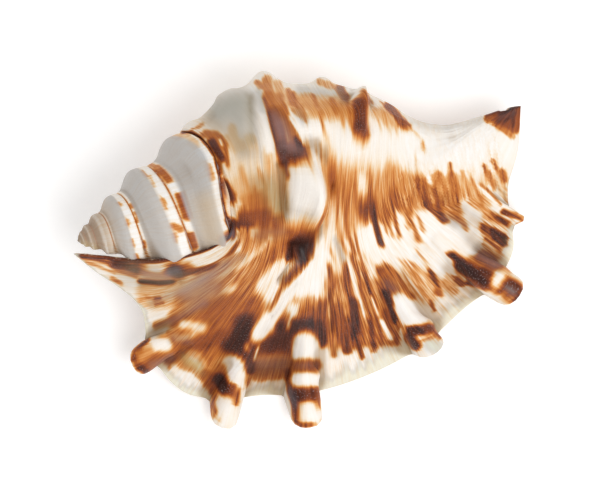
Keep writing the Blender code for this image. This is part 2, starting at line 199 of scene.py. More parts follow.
def hermite(knots, values, wanted):    # a smooth curve through values, read where wanted
    knots, values = np.asarray(knots, float), np.asarray(values, float)
    slopes = np.gradient(values, knots, axis=0)
    at = np.clip(np.searchsorted(knots, wanted, side="right") - 1, 0, len(knots) - 2)
    span = knots[at + 1] - knots[at]
    share = (wanted - knots[at]) / span
    shape = (-1,) + (1,) * (values.ndim - 1)
    share, span = share.reshape(shape), span.reshape(shape)
    near = (1 + 2 * share) * (1 - share) ** 2 * values[at]
    far = share ** 2 * (3 - 2 * share) * values[at + 1]
    bend = share * (1 - share) ** 2 * span * slopes[at]
    return near + far + bend + share ** 2 * (share - 1) * span * slopes[at + 1]


def whorlRadius(along):
    return np.interp(along, [line[1] for line in spiralLines], [line[2] for line in spiralLines])


def whorlNumber(along):    # turns at the left side: 0 at the last suture, less towards the apex
    rule = growthRule
    places = [place for place, _ in rule["sutures"]]
    return np.interp(along, places, np.arange(len(places)) - rule["turnsToLast"])


def alongOfWhorl(number):
    rule = growthRule
    places = [place for place, _ in rule["sutures"]]
    return np.interp(number, np.arange(len(places)) - rule["turnsToLast"], places)


def lastBulge(angle):    # how far the last suture swings forward beside the first knob
    height, middle, reach, _, _ = growthRule["bulge"]
    return height * np.exp(-0.5 * ((np.asarray(angle, float) - middle) / reach) ** 2)


def sutureAlong(angle):
    even = alongOfWhorl((np.asarray(angle, float) - growthRule["leftSide"]) / 360.0)
    return even + lastBulge(angle)


def sutureLag(number, angle):    # turns by which a suture of the spire lags at an angle
    delay = sutureDelay
    turned = np.where(angle < growthRule["leftSide"], angle + 360.0, angle)
    front = smoothStep(turned, *delay["grows"]) * (1 - smoothStep(turned, *delay["goes"]))
    lesser = 1 - delay["lesser"] * smoothStep(number, *delay["lessens"])
    early = smoothStep(number, *delay["setsIn"]) * lesser
    return delay["turns"] * front * early * (1 - smoothStep(number, *delay["ends"]))


def underShare(along):
    rule = growthRule
    return 1.0 - (1.0 - rule["canalUnder"]) * smoothStep(along, rule["canalFrom"], rule["canalTo"])


def skinAngle(along, angle):
    rule = growthRule
    back = 1.0 - (1.0 - rule["tipBack"]) * smoothStep(along, rule["tipFrom"], rule["tipTo"])
    turned = angle - rule["leftSide"]
    return rule["leftSide"] + turned * (underShare(along) if turned < 0 else back)


def lumps(across, along, seed, size=96):    # smooth random values from -1 to 1
    table = np.random.default_rng(seed).uniform(-1.0, 1.0, (size, size))
    i, j = np.floor(across).astype(int), np.floor(along).astype(int)
    right, up = smoothStep(across - i, 0.0, 1.0), smoothStep(along - j, 0.0, 1.0)
    i, j, nextI, nextJ = i % size, j % size, (i + 1) % size, (j + 1) % size
    near = table[i, j] * (1 - right) + table[nextI, j] * right
    far = table[i, nextJ] * (1 - right) + table[nextI, nextJ] * right
    return near * (1 - up) + far * up


def toPhoto(points):    # where points show in the picture, in pixels
    back = photo["cameraHeight"] - photo["middleHeight"]
    centre = photoPoint(photo["width"] / 2, photo["height"] / 2)
    nearer = back / (photo["cameraHeight"] - points[..., 2]) / photo["scale"]
    x, y = (points[..., 0] - centre[0]) * nearer, (points[..., 1] - centre[1]) * nearer
    cosine, sine = math.cos(photo["turned"]), math.sin(photo["turned"])
    right, down = x * cosine - y * sine, x * sine + y * cosine
    return photo["width"] / 2 + right, photo["height"] / 2 - down


def photoPoint(px, py):    # the place of a pixel on the middle height
    dx, dy = px - photo["apex"][0], py - photo["apex"][1]
    cosine, sine = math.cos(photo["turned"]), math.sin(photo["turned"])
    return ((dx * cosine - dy * sine) * photo["scale"],
            (-dx * sine - dy * cosine) * photo["scale"])


def controlPoints():
    rule, rows = growthRule, []
    for _, along, radius, root, middle, edge in spiralLines:
        points = []
        for wanted in rule["angles"]:
            angle = skinAngle(along, wanted)
            scale = min(growth(angle), 1.0)
            advance = float(sutureAlong(angle)) - rule["lastSuture"] * scale
            advance *= max(0.0, 1.0 - (along - rule["lastSuture"]) / rule["advanceFade"])
            flat = 1.0 - rule["flatBack"] * smoothStep(angle, *rule["flatAngles"])
            inset = rule["startInset"] if wanted == rule["skinStart"] else 0.0
            points.append(aroundAxis(along * scale + advance, radius * scale * flat - inset,
                                     angle, axisShift(along)))
        rows.append(points + [np.array(root), np.array(middle), np.array(edge)])
    return np.array(rows, float)


def gridNormals(grid):
    normals = np.cross(np.gradient(grid, axis=1), np.gradient(grid, axis=0))
    return normals / np.maximum(np.linalg.norm(normals, axis=2, keepdims=True), 1e-9)


def crowded(last):    # columns across the skin, closer at the ends and the sides of each finger
    fine = np.linspace(0.0, last, skinMesh["samples"])
    density = np.ones_like(fine)
    more, beside, wide = skinMesh["crowdAtFingers"]
    for name, (_, width, _, _) in fingers.items():
        off = np.abs(fine - columnOf[name]) / (0.5 * width)
        density += more * np.exp(-((off - beside) / wide) ** 2)
    more, wide = skinMesh["crowdAtEnds"]
    density += more * (np.exp(-(fine / wide) ** 2) + np.exp(-((last - fine) / wide) ** 2))
    total = np.concatenate([[0.0], np.cumsum(0.5 * (density[1:] + density[:-1]))])
    return np.interp(np.linspace(0.0, total[-1], skinMesh["columns"] + 1), total, fine)


def rowPlaces():    # a few rows near the start give way, so that the inner side's steps fit
    rows = [np.linspace(i, i + 1, n, endpoint=False)
            for i, n in enumerate(skinMesh["rowsPerSpan"])]
    last = len(skinMesh["rowsPerSpan"])
    rows = np.concatenate(rows + [[last - before for before in skinMesh["lastRows"]]])
    spare = (len(rows) - 1) % skinMesh["innerRowStep"]
    return np.delete(rows, np.arange(2, 2 + spare))


def knobHeights(points):
    along, radius, angle = fromAxis(points)
    squareRound, squareAlong = knobSquareness
    total = np.zeros(along.shape)
    for middle, turned, length, width, height, slant in knobs.values():
        roundIt = np.radians(angle - turned) * radius
        beside = np.abs((along - middle - slant * roundIt) / (0.5 * width)) ** squareAlong
        total += height * np.exp(-np.abs(roundIt / (0.5 * length)) ** squareRound - beside)
    return total


def edgePlaces():    # where each spiral line meets the lip, measured along it
    edges = np.array([line[5] for line in spiralLines])
    return np.concatenate([[0.0], np.cumsum(np.linalg.norm(np.diff(edges, axis=0), axis=1))])


columnOf = {line[0]: place for line, place in zip(spiralLines, edgePlaces())}


# folds and ridges, placed by the picture's pixels: height in millimetres, width, points
folds = [
    (1.6, 15, 220, 98, 232, 96), (-0.6, 10, 206, 124, 214, 116), (0.8, 12, 176, 136, 186, 132),
    (1.0, 11, 262, 96, 264, 130, 267, 165), (-0.9, 14, 249, 98, 251, 150),
    (-2.6, 14, 283, 166, 286, 214), (0.9, 20, 307, 178, 311, 212),
    (-1.8, 6, 334, 184, 329, 208, 321, 230), (-3.0, 17, 296, 246, 300, 248),
    (-1.6, 7, 300, 252, 292, 266, 280, 282), (1.5, 7, 317, 240, 313, 254, 302, 267, 286, 285, 272, 309),
    (1.2, 9, 360, 94, 361, 128), (-0.7, 8, 350, 100, 351, 128), (-0.7, 7, 372, 100, 371, 130),
    (1.5, 18, 304, 312, 307, 372), (1.5, 16, 262, 318, 240, 356), (1.2, 14, 205, 332, 172, 346),
    (1.6, 18, 388, 280, 420, 324), (1.6, 14, 458, 262, 494, 280), (0.8, 12, 148, 268, 160, 268),
    (0.7, 10, 116, 264, 128, 268), (-0.7, 8, 140, 284, 180, 283), (-0.8, 20, 335, 352, 400, 345),
    (-0.7, 18, 262, 372, 284, 370), (0.5, 9, 340, 262, 350, 320), (0.4, 7, 372, 290, 382, 330),
    (0.5, 8, 412, 205, 425, 240), (-0.5, 8, 330, 290, 332, 330),
]


def foldHeights(points):
    px, py = toPhoto(points)
    total = np.zeros(px.shape)
    for height, width, *stroke in folds:
        total += height * np.exp(-(strokeAway(px, py, stroke) / (0.5 * width)) ** 2)
    return total


def strokeAway(px, py, points):    # distance to a stroke in pixels
    near = np.full(px.shape, 1e6)
    corners = list(zip(points[::2], points[1::2]))
    for (x0, y0), (x1, y1) in zip(corners, corners[1:]):
        dx, dy = x1 - x0, y1 - y0
        share = np.clip(((px - x0) * dx + (py - y0) * dy) / (dx * dx + dy * dy), 0.0, 1.0)
        near = np.minimum(near, np.hypot(px - x0 - share * dx, py - y0 - share * dy))
    return near


def withFingers(base, control, columns, rows):    # the lip drawn out to its fingers, their arch
    form, arch = fingerForm, np.zeros(base.shape[:2])
    names = [line[0] for line in spiralLines]
    for name, (tip, width, height, square) in fingers.items():
        off = (columns[:, None] - columnOf[name]) / (0.5 * width)
        reach = np.exp(-np.abs(off * form["reachWidth"]) ** square)
        reach = reach * smoothStep(rows, *form["reachRows"]) ** form["reachPower"]
        base = base + reach[:, :, None] * (np.array(tip) - control[names.index(name), -1])
        lift = height * np.exp(-np.abs(off * form["archWidth"]) ** form["archPower"])
        arch += lift * smoothStep(rows, *form["archRows"])
    return base, arch


def fineRelief(kind, columns, rows):
    height, width, perRow, seed = relief[kind]
    return height * lumps(columns[:, None] / width, perRow * rows, seed)


def aboveFloor(points):
    points[:, :, 2] = np.maximum(points[:, :, 2], 0.0)
    return points


def skinGrids():    # the outer and the inner side of the last whorl and the wing
    control, lines, rows = controlPoints(), edgePlaces(), rowPlaces()
    columns, across = crowded(lines[-1]), rows[None, :]
    spans = control.shape[1] - 1
    base = hermite(lines, control, columns).transpose(1, 0, 2)
    base = aboveFloor(hermite(np.arange(spans + 1), base, rows).transpose(1, 0, 2))
    base, arch = withFingers(base, control, columns, across - (spans - 2))
    normals = gridNormals(base)
    fadeFrom, fadeTo = (spans - before for before in relief["shownTo"])
    shown = smoothStep(across, *relief["shownFrom"]) * (1 - smoothStep(across, fadeFrom, fadeTo))
    cords = fineRelief("cords", columns, across) * smoothStep(across, *relief["cordRows"])
    growthLines = fineRelief("growthLines", columns, across)
    detail = foldHeights(base) * shown + (cords + growthLines) * shown
    outer = aboveFloor(base + normals * (arch + knobHeights(base) + detail)[:, :, None])
    thin = smoothStep(across, spans - skinMesh["thinRows"], spans)
    thickness = skinMesh["thickness"] + (skinMesh["edgeThickness"] - skinMesh["thickness"]) * thin
    under = fingerForm["archInside"] * arch + np.minimum(detail, 0.0) - thickness
    inner = aboveFloor(base + normals * under[:, :, None])
    return roundedRim(outer, inner), columns, rows


def roundedRim(outer, inner):    # both surfaces run together in a half round at all four sides
    middle, half = 0.5 * (outer + inner), 0.5 * (outer - inner)
    fade = np.ones(outer.shape[:2])
    for axis in (0, 1):
        steps = np.linalg.norm(np.diff(middle, axis=axis), axis=2)
        for flip in (False, True):
            run = np.flip(steps, axis) if flip else steps
            away = np.cumsum(run, axis=axis)
            away = np.concatenate([np.zeros_like(np.take(away, [0], axis)), away], axis)
            away = np.flip(away, axis) if flip else away
            share = np.clip(away / skinMesh["edgeRound"], 0.0, 1.0)
            fade = np.minimum(fade, np.sqrt(1.0 - (1.0 - share) ** 2))
    return middle + half * fade[:, :, None], middle - half * fade[:, :, None]


def spireRadius(along, angle):
    mesh = coreMesh
    number = whorlNumber(along)
    whorls = number - (angle - growthRule["leftSide"]) / 360.0 + sutureLag(number, angle)
    share = whorls - np.floor(whorls)
    last = smoothStep(along, *mesh["lastProfileFrom"])
    step = np.interp(share, *zip(*mesh["profile"])) * (1 - last)
    step = step + np.interp(share, *zip(*mesh["lastProfile"])) * last
    seam = np.exp(-(np.minimum(share, 1 - share) / mesh["grooveWidth"]) ** 2)
    step = step - mesh["groove"] * seam
    radius = np.interp(along, *zip((0.0, 0.0), *growthRule["sutures"]))
    return radius * (1 + step * smoothStep(along, *mesh["stepsFrom"])), whorls


def canalWall(along, angle):    # the inner lip, which runs on beside the canal
    rule, mesh = growthRule, coreMesh
    angle = np.where(angle > mesh["wallTurn"], angle - 360.0, angle)
    scale = np.minimum(growth(angle), 1.0)
    line = along / scale
    past = angle - rule["leftSide"] - (rule["skinStart"] - rule["leftSide"]) * underShare(line)
    beside = smoothStep(past, *mesh["wallStart"]) * (1.0 - smoothStep(past, *mesh["wallEnd"]))
    wall = whorlRadius(line) * scale - mesh["wallInset"]
    return beside * smoothStep(line, mesh["wallFrom"], rule["canalFrom"]) * wall


def earlierRadius(along, angle):
    rule, mesh = growthRule, coreMesh
    small = smoothStep(angle, mesh["shrinkFrom"], mesh["smallest"])
    small = small - smoothStep(angle, mesh["smallest"], mesh["fullAgain"])
    full = growth(mesh["shrinkFrom"])
    scale = full + (mesh["smallestScale"] - full) * small
    inside = whorlRadius(along / scale) * scale
    inside = inside * (1.0 - smoothStep(along / scale, rule["canalShiftFrom"], rule["canalTo"]))
    taper = smoothStep(along, rule["canalTo"], mesh["columellaEnd"])
    pillar = mesh["columella"] + (mesh["columellaTip"] - mesh["columella"]) * taper
    wall = canalWall(along, angle) - mesh["wallTaper"] * taper
    return np.maximum(np.maximum(inside, pillar), wall)


def coreRadius(along, angle, bulge):
    spire, whorls = spireRadius(along - bulge, angle)
    inside = earlierRadius(along, angle)
    suture = sutureAlong(angle)
    past = smoothStep(along, *(suture + after for after in coreMesh["pastSuture"]))
    covered = smoothStep(angle, *coreMesh["coveredAngles"]) * (whorls > -1)
    spire = spire * (1 - covered) + inside * covered
    return spire * (1 - past) + np.minimum(spire, inside) * past, whorls


def coreGrid():    # rings whose rows follow the sutures, from the apex to the columella's end
    mesh = coreMesh
    angle = np.linspace(mesh["shrinkFrom"], mesh["shrinkFrom"] + 360.0, mesh["columns"] + 1)[None, :]
    turned = (angle - growthRule["leftSide"]) / 360.0
    back = smoothStep(angle, *mesh["levelAngles"])
    shear = turned * (1 - back) + turned[0, 0] * back
    first = -growthRule["turnsToLast"]
    even = [np.arange(n) / n for n in mesh["rowsPerWhorl"]]
    crowdedRows = [t - mesh["crowding"] * np.sin(2 * np.pi * t) / (2 * np.pi) for t in even]
    numbers = np.concatenate([first + i + t for i, t in enumerate(crowdedRows)] + [[0.0]])[:, None]
    spire = numbers + shear
    for _ in range(sutureDelay["passes"]):
        spire = numbers + shear - sutureLag(spire, angle)
    apex = smoothStep(spire, *(first - before for before in mesh["apexRows"]))
    spire = alongOfWhorl(np.maximum(spire, first)) * apex
    bulge = lastBulge(angle) * smoothStep(spire, *growthRule["bulge"][3:])
    spire = np.maximum(spire + bulge, 0.0)
    share = np.linspace(0.0, 1.0, mesh["rowsInside"] + 1)[1:, None] ** mesh["insideRatio"]
    inside = spire[-1:] + (mesh["columellaEnd"] - spire[-1:]) * share
    along = np.concatenate([spire, inside])
    bulge = np.concatenate([bulge, lastBulge(angle) + 0 * inside])
    radius, whorls = coreRadius(along, angle, bulge)
    points = aroundAxis(along, radius, angle, axisShift(along) * np.ones_like(angle))
    return aboveFloor(points), along, whorls, angle * np.ones_like(along)


def toEditMode(piece, select="DESELECT"):
    bpy.ops.object.mode_set(mode="OBJECT")
    bpy.ops.object.select_all(action="DESELECT")
    piece.select_set(True)
    bpy.context.view_layer.objects.active = piece
    bpy.ops.object.mode_set(mode="EDIT")
    bpy.ops.mesh.select_all(action=select)


def gridPiece(name, points, flip=False):    # a grid primitive bent to the points
    bpy.ops.object.select_all(action="DESELECT")
    columns, rows = points.shape[:2]
    bpy.ops.mesh.primitive_grid_add(x_subdivisions=columns - 1, y_subdivisions=rows - 1,
                                    size=1.0, calc_uvs=True)
    piece = bpy.context.object
    piece.name = piece.data.name = name
    piece.data.vertices.foreach_set("co", (points.transpose(1, 0, 2) * mm).ravel())
    piece.data.update()
    if flip:
        toEditMode(piece, "SELECT")
        bpy.ops.mesh.flip_normals()
        bpy.ops.object.mode_set(mode="OBJECT")
    return piece


def joined(pieces):
    bpy.ops.object.select_all(action="DESELECT")
    for piece in pieces:
        piece.select_set(True)
    bpy.context.view_layer.objects.active = pieces[0]
    bpy.ops.object.join()
    return pieces[0]


def closed(piece, sides):    # merges rim points that meet, fills openings of up to so many sides
    toEditMode(piece, "SELECT")
    bpy.ops.mesh.remove_doubles(threshold=skinMesh["seam"] * mm)
    bpy.ops.mesh.select_all(action="DESELECT")
    bpy.ops.mesh.select_non_manifold()
    bpy.ops.mesh.fill_holes(sides=sides)
    bpy.ops.mesh.select_all(action="SELECT")
    bpy.ops.mesh.normals_make_consistent(inside=False)
    bpy.ops.object.mode_set(mode="OBJECT")
    return piece


# markings, each placed by the pixels of the picture that show it: how dark it is, from 0 for
# white over 0.3 tan, 0.5 orange, 0.7 brown to 1 for black, its width, and the points it runs
# through; a later one lies over the earlier ones
wingMarks = {
    "ground": [
        (0.15, 26, 205, 120, 240, 190), (0.26, 20, 262, 170, 270, 196), (0.16, 22, 240, 150, 252, 196),
        (0.26, 16, 288, 100, 345, 104), (0.22, 14, 375, 112, 395, 122), (0.26, 8, 300, 115, 345, 118),
        (0.34, 30, 340, 182, 400, 186), (0.46, 30, 352, 205, 392, 208), (0.44, 34, 400, 190, 450, 196),
        (0.26, 20, 462, 192, 480, 204), (0.2, 16, 486, 178, 504, 190), (0.34, 12, 478, 212, 508, 224),
        (0.46, 12, 488, 234, 504, 242), (0.16, 30, 335, 220, 350, 262), (0.08, 40, 380, 245, 440, 240),
        (0.18, 24, 345, 264, 375, 264), (0.44, 34, 340, 290, 360, 330), (0.48, 26, 372, 290, 385, 335),
        (0.3, 30, 412, 278, 428, 290), (0.62, 20, 290, 322, 318, 325), (0.52, 30, 335, 335, 395, 330),
        (0.4, 26, 482, 262, 500, 268), (0.46, 20, 250, 245, 285, 232), (0.4, 40, 225, 290, 262, 262),
        (0.55, 40, 215, 325, 250, 310), (0.5, 26, 180, 320, 212, 312), (0.3, 30, 150, 295, 185, 292),
        (0.38, 26, 195, 290, 225, 272), (0.74, 34, 240, 345, 285, 350), (0.55, 22, 165, 345, 215, 352),
        (0.52, 20, 212, 370, 240, 380), (0.48, 14, 256, 375, 285, 372), (0.44, 14, 190, 365, 205, 372),
        (0.5, 16, 120, 266, 180, 272), (0.34, 6, 90, 258, 120, 266),
    ],
    "bare": [
        (0.05, 22, 300, 128, 330, 140), (0.06, 20, 338, 140, 352, 148), (0.06, 24, 378, 136, 410, 145),
        (0.04, 30, 415, 146, 440, 152, 470, 150), (0.04, 26, 452, 140, 492, 132),
        (0.05, 20, 494, 142, 512, 146), (0.06, 10, 508, 152, 512, 160), (0.05, 20, 373, 238, 380, 254),
        (0.05, 14, 398, 220, 404, 236), (0.05, 20, 424, 222, 440, 245, 450, 266),
        (0.04, 18, 455, 233, 472, 246), (0.05, 12, 464, 207, 478, 215), (0.05, 12, 488, 190, 500, 200),
        (0.05, 24, 296, 278, 312, 262, 322, 240), (0.05, 16, 266, 284, 276, 275),
        (0.12, 14, 455, 300, 470, 292), (0.12, 14, 440, 320, 452, 308),
    ],
    "ramp": [
        (0.22, 14, 250, 140, 262, 190), (0.1, 8, 262, 100, 266, 146), (0.27, 12, 228, 140, 240, 146),
        (0.24, 10, 232, 128, 236, 150), (0.45, 3, 194, 129, 203, 124), (0.38, 4, 232, 163, 236, 170),
        (0.17, 26, 240, 166, 272, 160), (0.27, 20, 240, 186, 278, 182), (0.42, 14, 246, 200, 280, 197),
        (0.33, 6, 241, 168, 243, 182), (0.36, 4, 245, 178, 249, 190), (0.3, 8, 268, 146, 268, 172),
        (0.35, 4, 258, 168, 264, 184), (0.4, 4, 262, 175, 268, 190), (0.48, 4, 255, 190, 262, 200),
        (0.52, 18, 256, 200, 276, 206), (0.14, 9, 228, 203, 234, 212, 238, 206),
        (0.72, 18, 246, 217, 276, 218), (0.86, 9, 233, 224, 250, 226), (0.92, 7, 228, 220, 232, 228),
        (0.55, 9, 206, 134, 216, 136, 224, 146), (0.85, 8, 212, 142, 218, 152, 222, 158),
        (0.6, 4, 221, 137, 226, 150, 228, 166), (0.1, 2.5, 220, 140, 222, 145),
        (0.6, 4, 219, 162, 221, 174), (0.6, 5, 224, 181, 230, 190, 236, 197),
        # the pale streak at 285-288, 209-222 is a painted highlight
        (0.86, 8, 225, 184, 228, 192, 232, 200), (0.08, 4, 285, 209, 288, 222),
        (0.5, 12, 262, 233, 280, 232), (0.48, 12, 244, 236, 252, 240), (0.24, 4, 252, 236, 258, 228),
        (0.8, 9, 222, 241, 232, 234),
        (0.74, 3, 182, 133, 192, 132, 200, 137, 210, 149, 216, 163, 220, 178, 222, 195, 225, 212, 229,
         225),
    ],
    "firstKnob": [
        (0.06, 8, 252, 90, 258, 80, 266, 76, 276, 79), (0.06, 9, 259, 96, 266, 125, 270, 150),
        (0.46, 6, 258, 83, 262, 87), (0.44, 10, 267, 80, 269, 92), (0.32, 9, 278, 84, 281, 98),
        (0.52, 13, 269, 97, 273, 110), (0.47, 10, 279, 98, 281, 112), (0.6, 12, 274, 112, 278, 128),
        (0.54, 9, 283, 108, 287, 120), (0.66, 3, 264, 98, 269, 114, 274, 131, 279, 150),
        (0.66, 11, 279, 130, 283, 146), (0.5, 12, 289, 124, 295, 140), (0.84, 10, 281, 146, 284, 164),
        (0.8, 12, 291, 150, 306, 153), (0.86, 7, 299, 146, 306, 152), (0.72, 9, 290, 160, 304, 160),
        (0.7, 4, 305, 158, 311, 166), (0.66, 7, 282, 166, 287, 176),
        (0.75, 2.5, 309, 147, 315, 150, 321, 156), (0.5, 5, 288, 90, 292, 104),
        (0.56, 4, 293, 93, 297, 108), (0.44, 5, 298, 100, 303, 114), (0.38, 6, 294, 110, 302, 116),
        (0.34, 4, 303, 112, 306, 120), (0.86, 3, 268, 112, 273, 131, 278, 148, 283, 166),
        (0.93, 5, 296, 141, 301, 147, 307, 152), (0.9, 4, 281, 150, 290, 156, 300, 157),
        (0.05, 3, 290, 118, 296, 127, 303, 138),
    ],
    "besideKnobs": [
        (0.34, 14, 306, 100, 316, 110), (0.38, 16, 322, 108, 345, 110), (0.5, 4, 313, 95, 317, 106),
        (0.45, 3, 302, 105, 306, 122), (0.5, 6, 332, 100, 337, 112), (0.42, 4, 341, 105, 343, 125),
        (0.45, 4, 347, 98, 350, 125), (0.45, 3, 320, 112, 324, 132, 331, 149),
        (0.5, 3.5, 320, 145, 326, 158, 331, 170, 332, 178), (0.36, 7, 320, 82, 333, 87),
        (0.62, 9, 340, 89, 345, 97), (0.5, 2, 346, 98, 350, 112), (0.07, 8, 349, 88, 357, 90),
        (0.55, 8, 363, 93, 368, 102), (0.76, 15, 360, 104, 360, 128), (0.9, 12, 358, 130, 364, 133),
        (0.32, 10, 378, 112, 390, 122), (0.35, 2, 378, 120, 382, 133), (0.35, 2, 385, 122, 391, 135),
        (0.35, 2, 392, 122, 398, 134), (0.5, 3, 382, 103, 388, 107),
        (0.7, 8, 388, 106, 396, 114, 404, 124), (0.66, 7, 400, 124, 408, 127),
        (0.34, 2, 408, 127, 416, 134, 424, 144), (0.34, 5, 422, 146, 424, 151),
    ],
    "secondKnob": [
        (0.26, 20, 276, 174, 280, 206), (0.03, 32, 308, 177, 310, 200), (0.04, 26, 308, 185, 312, 216),
        (0.25, 9, 304, 224, 313, 229), (0.72, 3.5, 322, 168, 328, 180, 331, 188),
        (0.55, 1.5, 331, 170, 331, 197, 327, 206), (0.7, 12, 292, 232, 312, 233),
        # the black pit at 289-302, 243-258 below the second knob is partly its own dark colour, partly
        # painted shadow
        (0.97, 18, 294, 249, 302, 243), (0.96, 9, 289, 258, 296, 252),
        (0.8, 2.5, 328, 209, 323, 216, 319, 227, 317, 234),
    ],
    "upperBand": [
        (0.44, 26, 404, 189, 450, 193), (0.3, 12, 462, 182, 478, 196), (0.64, 9, 332, 163, 333, 194),
        (0.42, 15, 348, 174, 350, 198), (0.56, 3, 341, 165, 343, 200, 346, 228),
        (0.56, 3, 338, 180, 337, 226, 346, 253), (0.42, 3, 351, 200, 350, 225),
        (0.72, 4, 354, 184, 357, 197), (0.62, 4, 356, 172, 362, 169, 368, 174, 371, 190, 371, 198),
        (0.02, 9, 361, 178, 364, 191), (0.74, 15, 365, 203, 366, 215), (0.6, 10, 384, 203, 386, 222),
        (0.88, 6, 373, 203, 375, 222, 381, 244), (0.5, 2.5, 386, 225, 388, 235),
        (0.45, 2, 389, 222, 392, 238), (0.45, 18, 392, 173, 394, 192), (0.62, 4, 386, 189, 398, 192),
        (0.42, 5, 377, 180, 380, 200), (0.6, 10, 398, 197, 399, 205),
        (0.68, 4, 391, 194, 394, 212, 399, 236), (0.46, 8, 402, 175, 404, 205),
        (0.42, 12, 411, 180, 413, 202), (0.42, 4, 405, 208, 409, 229),
        (0.56, 4, 408, 195, 410, 217, 420, 243), (0.45, 3, 413, 200, 417, 215, 424, 232),
        (0.6, 10, 421, 180, 425, 204), (0.68, 8, 428, 204, 444, 220), (0.5, 12, 438, 178, 444, 208),
        (0.78, 4, 434, 190, 441, 213, 448, 221), (0.45, 14, 452, 180, 456, 214),
        (0.62, 3, 450, 165, 453, 190, 460, 207), (0.5, 6, 456, 212, 466, 226),
        (0.03, 5, 428, 177, 430, 183), (0.4, 3, 462, 172, 470, 196, 482, 208),
        (0.38, 3, 468, 172, 476, 190, 484, 205), (0.45, 3, 472, 180, 484, 206),
        (0.3, 2, 415, 155, 417, 175), (0.56, 3, 324, 212, 328, 224),
        (0.5, 2, 324, 232, 328, 246, 334, 259),
    ],
    "canal": [
        (0.45, 5, 486, 118, 500, 127, 513, 137), (0.62, 9, 489, 118, 504, 113),
        (0.7, 13, 500, 118, 517, 111), (0.7, 14, 506, 121, 513, 125), (0.68, 8, 517, 108, 515, 130),
        (0.74, 3, 486, 115, 505, 109, 520, 105), (0.5, 4, 484, 165, 490, 180, 495, 188),
        (0.5, 4, 492, 160, 500, 175, 503, 182), (0.55, 6, 503, 172, 505, 180),
        (0.5, 3, 489, 170, 496, 185), (0.24, 8, 500, 187, 508, 200),
        (0.48, 3, 480, 183, 490, 192, 500, 204), (0.5, 3, 487, 121, 498, 128, 510, 135),
        (0.88, 4, 500, 114, 511, 109, 518, 106), (0.84, 3, 505, 121, 515, 113),
        (0.84, 3, 513, 112, 513, 126),
    ],
    "lowerRight": [
        (0.42, 3, 512, 225, 523, 220), (0.38, 5, 508, 227, 513, 232), (0.8, 6, 502, 211, 514, 215),
        (0.84, 4, 512, 215, 524, 218), (0.72, 7, 493, 217, 507, 223), (0.66, 9, 485, 228, 504, 238),
        (0.9, 8, 494, 233, 506, 241), (0.86, 6, 496, 239, 505, 246), (0.78, 3, 486, 240, 503, 251),
        (0.45, 2, 484, 245, 500, 255), (0.5, 2.5, 470, 203, 484, 212, 500, 224),
        (0.45, 2.5, 480, 206, 496, 217), (0.4, 2, 456, 218, 468, 232), (0.36, 2, 462, 221, 470, 230),
        (0.62, 15, 483, 258, 496, 267), (0.93, 8, 451, 254, 462, 262),
        (0.95, 15, 461, 266, 476, 275, 488, 281), (0.8, 6, 468, 281, 486, 288, 497, 291),
        (0.7, 8, 488, 270, 499, 274), (0.86, 10, 484, 273, 492, 280), (0.04, 12, 500, 276, 496, 285),
        # the three lighter strokes on the sixth finger's dark tip, at 504-519, 289-297, are painted
        # highlights
        (0.92, 23, 511, 290, 513, 292), (0.55, 4, 504, 291, 506, 295), (0.4, 4, 515, 289, 519, 291),
        (0.4, 4, 511, 297, 514, 297), (0.36, 12, 448, 284, 454, 290), (0.68, 7, 456, 279, 463, 285),
        (0.42, 4, 448, 276, 455, 280), (0.42, 2.5, 405, 262, 418, 280, 425, 300),
        (0.42, 3, 412, 262, 420, 276, 426, 292), (0.4, 2, 417, 250, 430, 268, 436, 282),
        (0.4, 2, 400, 260, 410, 274, 418, 288), (0.66, 6, 430, 272, 436, 284, 438, 294),
        (0.64, 4, 432, 303, 435, 311),
    ],
    "lowerBand": [
        (0.46, 8, 286, 300, 322, 300), (0.58, 7, 285, 302, 281, 318, 278, 332),
        (0.66, 14, 305, 311, 318, 312), (0.93, 12, 298, 325, 316, 325), (0.9, 9, 290, 333, 300, 329),
        (0.66, 14, 337, 308, 338, 340), (0.72, 12, 322, 305, 322, 335), (0.88, 7, 321, 322, 323, 343),
        (0.58, 6, 334, 340, 334, 355), (0.68, 5, 329, 266, 333, 285, 330, 302),
        (0.4, 4, 337, 286, 336, 302), (0.7, 7, 346, 267, 347, 285, 352, 310),
        (0.9, 9, 354, 302, 356, 336), (0.7, 10, 346, 320, 347, 350), (0.7, 6, 357, 338, 362, 357),
        (0.62, 5, 352, 256, 358, 274, 366, 300, 370, 320, 374, 345),
        (0.68, 5, 361, 262, 371, 292, 378, 320, 382, 344), (0.84, 5, 370, 322, 374, 350),
        (0.62, 4, 345, 198, 346, 228, 355, 255), (0.56, 3, 353, 225, 358, 250, 366, 272),
        (0.68, 13, 382, 271, 391, 288), (0.66, 12, 388, 271, 402, 287), (0.58, 8, 400, 285, 411, 297),
        (0.9, 8, 386, 293, 391, 306, 394, 319), (0.72, 6, 385, 310, 391, 328, 399, 343),
        (0.55, 4, 408, 297, 418, 308, 429, 324), (0.06, 3, 350, 264, 353, 280, 360, 300, 364, 314),
        (0.08, 2.5, 371, 297, 379, 315), (0.05, 5, 382, 322, 391, 338), (0.02, 18, 403, 307, 408, 316),
        (0.02, 14, 412, 308, 422, 318), (0.9, 10, 411, 330, 430, 329), (0.88, 11, 410, 336, 415, 345),
        (0.76, 5, 430, 329, 439, 337), (0.5, 3, 421, 340, 436, 336), (0.06, 3, 400, 330, 404, 345),
        (0.08, 8, 294, 307, 293, 314), (0.1, 3, 289, 320, 288, 328),
    ],
    "middle": [
        (0.6, 12, 284, 245, 274, 257), (0.55, 10, 270, 250, 258, 268),
        (0.52, 8, 262, 252, 250, 275, 236, 298), (0.56, 8, 262, 262, 250, 285, 240, 300),
        (0.48, 6, 256, 262, 246, 285, 240, 296), (0.12, 15, 279, 270, 270, 285, 262, 298),
        (0.1, 8, 283, 263, 288, 268), (0.05, 10, 322, 242, 318, 262, 303, 284),
        (0.05, 20, 312, 283, 302, 288), (0.05, 9, 290, 292, 278, 312, 262, 330, 255, 337),
